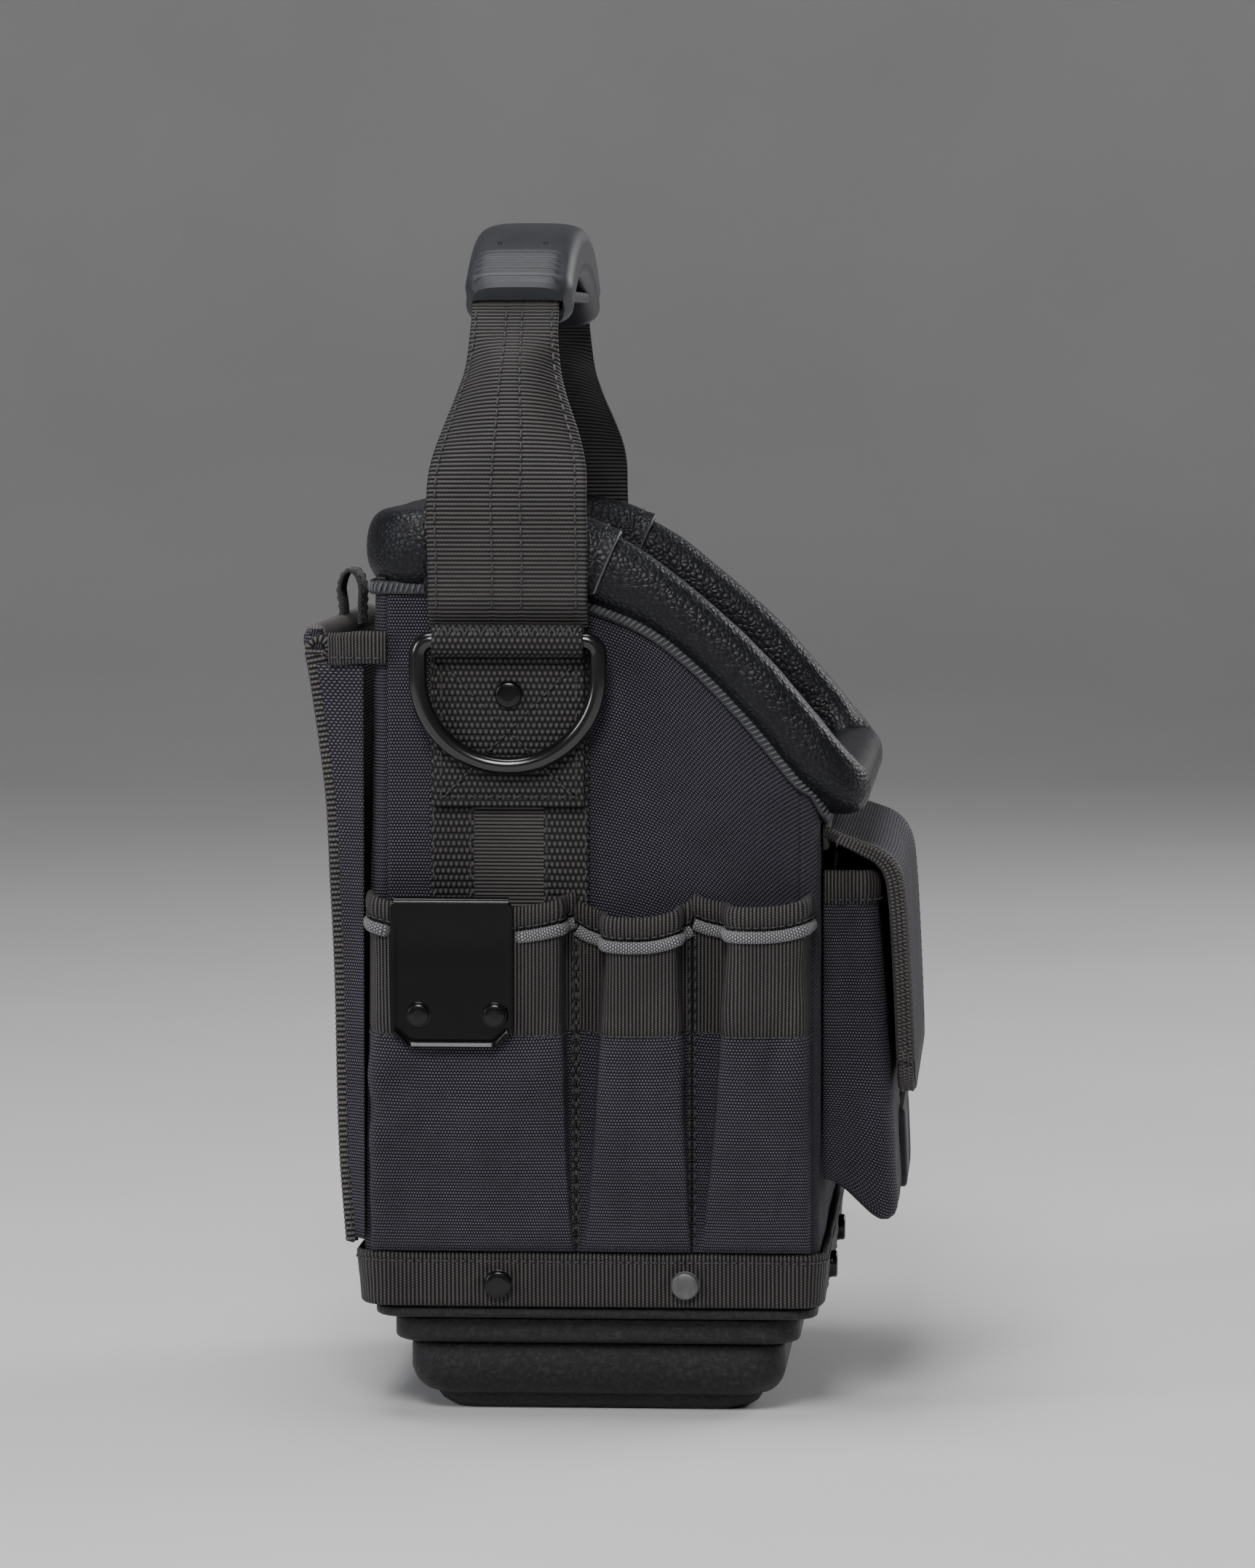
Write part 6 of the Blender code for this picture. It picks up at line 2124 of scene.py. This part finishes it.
qs = [-1 + t for t in (0, 0.004, 0.01, 0.02, 0.03, 0.04, 0.05, 0.056, 0.062, 0.07, 0.08, 0.1, 0.13, 0.16)]
qs = qs + steps(-0.8, 0.8, 0.035) + [-q for q in qs[::-1]]
rs = steps(0.0, 0.9, 0.014) + [0.912, 0.925, 0.935, 0.942, 0.948, 0.954, 0.96, 0.967, 0.975, 0.983, 0.99, 0.995, 1.0]
rows = []
for q in qs:
    rows.append([flap_point(q, r, 1) for r in rs] + [flap_point(q, r, -1) for r in rs[::-1]])
vs = [q * FLAP_X for q in qs]
us = [r * total for r in rs] + [total + 3 + (1 - r) * total for r in rs[::-1]] + [2 * total + 6]
nr = len(rs)


def flap_mat(i, k):
    if abs(vs[i]) > FLAP_X - 6.4 or abs(vs[min(i + 1, len(vs) - 1)]) > FLAP_X - 6.4:
        return 1
    kk = k if k < nr else 2 * nr - 1 - k
    return 2 if rs[min(kk, nr - 1)] * total > total - 6.4 else 0


flap = piece("pouch_flap", rows, [M["nylon"], M["band_flap"], M["band"]], body=None, us=us, vs=vs, swap=True, mat_of=flap_mat)
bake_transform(flap)
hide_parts("front_flap")
# three proud rows round the flap's edge, as the folded binding shows from the side
parts = []
for off, rad, kind in ((-1.55, 0.62, 0), (0.0, 0.62, 0), (1.55, 0.62, 0)):
    for s in (-1, 1):
        line = []
        for r in steps(0.05, 0.90, 0.02):
            p, n = spine_at(r * total)
            out = -n if n.y > 0 else n
            half = lerp(1.4, 2.7, smooth((r * total - 3) / 26))
            line.append(Vector((s * (FLAP_X - 0.35), p.y, p.z)) + out * (off * half / 2.7))
        for k in range(1, 13):
            a = math.radians(90 * k / 12)
            x = FLAP_X - 14 + 14 * math.cos(a)
            rr = total - 14 + 14 * math.sin(a)
            p, n = spine_at(rr)
            out = -n if n.y > 0 else n
            line.append(Vector((s * (x - 0.35 * math.cos(a)), p.y, p.z + 0.35 * math.sin(a))) + out * off)
        line.append(Vector((0, line[-1].y, line[-1].z)))
        parts.append(tube_part(line, rad, 8, kind, normal=(0, 1, 0)))
ridges = join_meshes("pouch_flap_ridges", parts, [M["hem_cord"]], body=None)
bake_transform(ridges)
parts = []
inner = 5.0
line = [flap_point(-1 + inner / FLAP_X, r, 1) for r in steps(0.08, 0.87, 0.03)]
corner = []
for k in range(9):
    a = math.radians(90 * k / 8)
    x = -(FLAP_X - 14 + 9.0 * math.cos(a))
    rr = total - 14 + 9.0 * math.sin(a)
    p, n = spine_at(rr)
    out = -n if n.y > 0 else n
    corner.append(Vector((x, p.y, p.z)) + out * 2.5)
low = [Vector((lerp(corner[-1].x, -corner[-1].x, t), corner[-1].y, corner[-1].z)) for t in (0.2, 0.4, 0.6, 0.8)]
full = line + corner + low + [Vector((-p.x, p.y, p.z)) for p in corner[::-1]] + [Vector((-p.x, p.y, p.z)) for p in line[::-1]]
sewn = join_meshes("pouch_flap_thread", stitches(full, (0, -1, 0.15), pitch=3.2, radius=0.36), M["thread"], body=None)
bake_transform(sewn)

rows = []
for x in steps(-FLAP_X + 1, FLAP_X - 1, 0.45):
    rib = 0.15 * (hump(x / 1.13, 0.8) - 0.5)
    e = 0.4 * math.exp(-(((FLAP_X - 1 - abs(x)) / 0.6) ** 2))
    prof = [(183.6, 0.0), (183.7, 1.2), (184.3, 1.8 + rib), (185.6, 1.9 + rib), (186.6, 1.5), (187.6, 1.9 + rib), (189.0, 1.9 + rib), (190.6, 1.6 + rib), (191.6, 0.9), (191.9, 0.0)]
    rows.append([Vector((x, BODY_FRONT - GAP - max(0.0, d - e * (d > 0.5)), z)) for z, d in prof])
seam = piece("flap_seam_tape", rows, M["band"], vs=steps(-FLAP_X + 1, FLAP_X - 1, 0.45), swap=True)
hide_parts("flap_seam")


# ---------------------------------------------------------------- sleeves inside the rear wall
for label, xc in (("left", -56.0), ("middle", 0.0), ("right", 56.0)):
    half = 25.0

    def ring_at(z, depth, inset, lift=0.0):
        y0 = rear_y(z) - WALL - 0.5
        pts = []
        for k in range(33):
            t = k / 32
            a = math.pi * t
            x = -(half - inset) * math.copysign(abs(math.cos(a)) ** 0.55, math.cos(a))
            d = (depth - inset) * math.sin(a) ** 0.45
            slack = 0.6 * wave((xc + x, z, 3), 16, 2.0) * math.sin(a)
            pts.append(Vector((xc + x, y0 - max(0.15, d + slack), z + lift * math.cos(a) ** 2)))
        return pts

    cols_out, cols_in = [], []
    zlist = steps(64.0, 175.0, 3.6)
    outer = [ring_at(z, table([(64, 3.5), (80, 9.0), (175, 12.5)], z), 0.0, 1.2 * clamp((z - 60) / 115) ** 3) for z in zlist]
    inner = [ring_at(z, table([(64, 3.5), (80, 9.0), (175, 12.5)], z), 1.5, 1.2 * clamp((z - 60) / 115) ** 3) for z in zlist[::-2]]
    rows = []
    for k in range(33):
        rows.append([r[k] for r in outer] + [r[k] for r in inner])
    sl = piece(f"tool_sleeve_{label}", rows, M["lining"], swap=True)
    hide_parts(f"inner_sleeve_{label}")
    top_edge = [p + Vector((0, 0, 0.3)) for p in outer[-1]]
    join_meshes(f"tool_sleeve_edge_{label}", [tube_part([p + Vector((0, 0.4, -0.6)) for p in top_edge[1:-1]], 1.3, 10, normal=(0, 0, 1), squash=1.7)], M["band"])


# ---------------------------------------------------------------- camera, floor and light
cam_data = bpy.data.cameras.new("camera")
cam = bpy.data.objects.new("camera", cam_data)
bpy.context.scene.collection.objects.link(cam)
yaw, pitch = math.radians(3.5), math.radians(3.86)
forward = Vector((math.cos(pitch) * math.cos(yaw), math.cos(pitch) * math.sin(yaw), -math.sin(pitch)))
cam.location = (-2.1851, -0.1383, 0.3463)
cam.rotation_euler = forward.to_track_quat("-Z", "Y").to_euler()
cam_data.sensor_fit = "VERTICAL"
cam_data.sensor_height = 36.0
cam_data.lens = 150.78
cam_data.clip_start = 0.05
cam_data.clip_end = 60
bpy.context.scene.camera = cam

# One pale sheet: floor that sweeps up into a wall all the way round
bm = bmesh.new()
profile = [(0.0, 0.0), (1.2, 0.0), (2.2, 0.0), (3.0, 0.0), (3.6, 0.06), (4.1, 0.25), (4.45, 0.6), (4.6, 1.1), (4.65, 2.2), (4.65, 4.0)]
seg = 64
verts = [[bm.verts.new((r * math.cos(math.tau * k / seg), r * math.sin(math.tau * k / seg), h)) for k in range(seg)] for r, h in profile[1:]]
mid = bm.verts.new((0, 0, 0))
for k in range(seg):
    bm.faces.new((mid, verts[0][k], verts[0][(k + 1) % seg]))
for a, b in zip(verts, verts[1:]):
    for k in range(seg):
        n = (k + 1) % seg
        bm.faces.new((a[k], b[k], b[n], a[n]))
mesh = bpy.data.meshes.new("floor")
bm.to_mesh(mesh)
bm.free()
mesh.shade_smooth()
floor = bpy.data.objects.new("floor", mesh)
bpy.context.scene.collection.objects.link(floor)
fm = Mat("pale_floor", rough=0.75, specular=0.2)
fn = fm.noise(3.0, 3.0)
mesh.materials.append(fm.done(fm.ramp(fn, [(0.3, (0.68, 0.675, 0.68)), (0.7, (0.72, 0.715, 0.72))])))
floor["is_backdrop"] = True


def area(name, location, target, size, power, colour=(1, 1, 1), size_y=None):
    data = bpy.data.lights.new(name, "AREA")
    data.energy = power
    data.color = colour
    data.size = size
    if size_y:
        data.shape = "RECTANGLE"
        data.size_y = size_y
    obj = bpy.data.objects.new(name, data)
    bpy.context.scene.collection.objects.link(obj)
    obj.location = location
    obj.rotation_euler = (Vector(target) - Vector(location)).to_track_quat("-Z", "Y").to_euler()
    return obj


area("key", (-1.75, 0.1, 1.45), (0, 0, 0.17), 0.6, 29, (1.0, 0.985, 0.97), 0.7)
area("top", (-0.1, 0.2, 1.9), (0, 0, 0.2), 0.9, 20, (0.97, 0.98, 1.0), 0.9)
area("rear", (-1.2, 1.7, 0.9), (0, 0, 0.2), 0.5, 14, (0.95, 0.97, 1.0), 0.9)
area("fill", (1.3, -1.5, 1.1), (0, 0, 0.2), 1.2, 22, (1, 1, 1), 1.2)
world = bpy.data.worlds.new("studio")
world.use_nodes = True
world.node_tree.nodes["Background"].inputs[0].default_value = (0.9, 0.92, 0.96, 1)
world.node_tree.nodes["Background"].inputs[1].default_value = 0.10
bpy.context.scene.world = world
bpy.context.scene.view_settings.exposure = 0.0

low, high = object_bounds()
{"cad": [list(cad_low), list(cad_high)], "visual": [list(low), list(high)]}
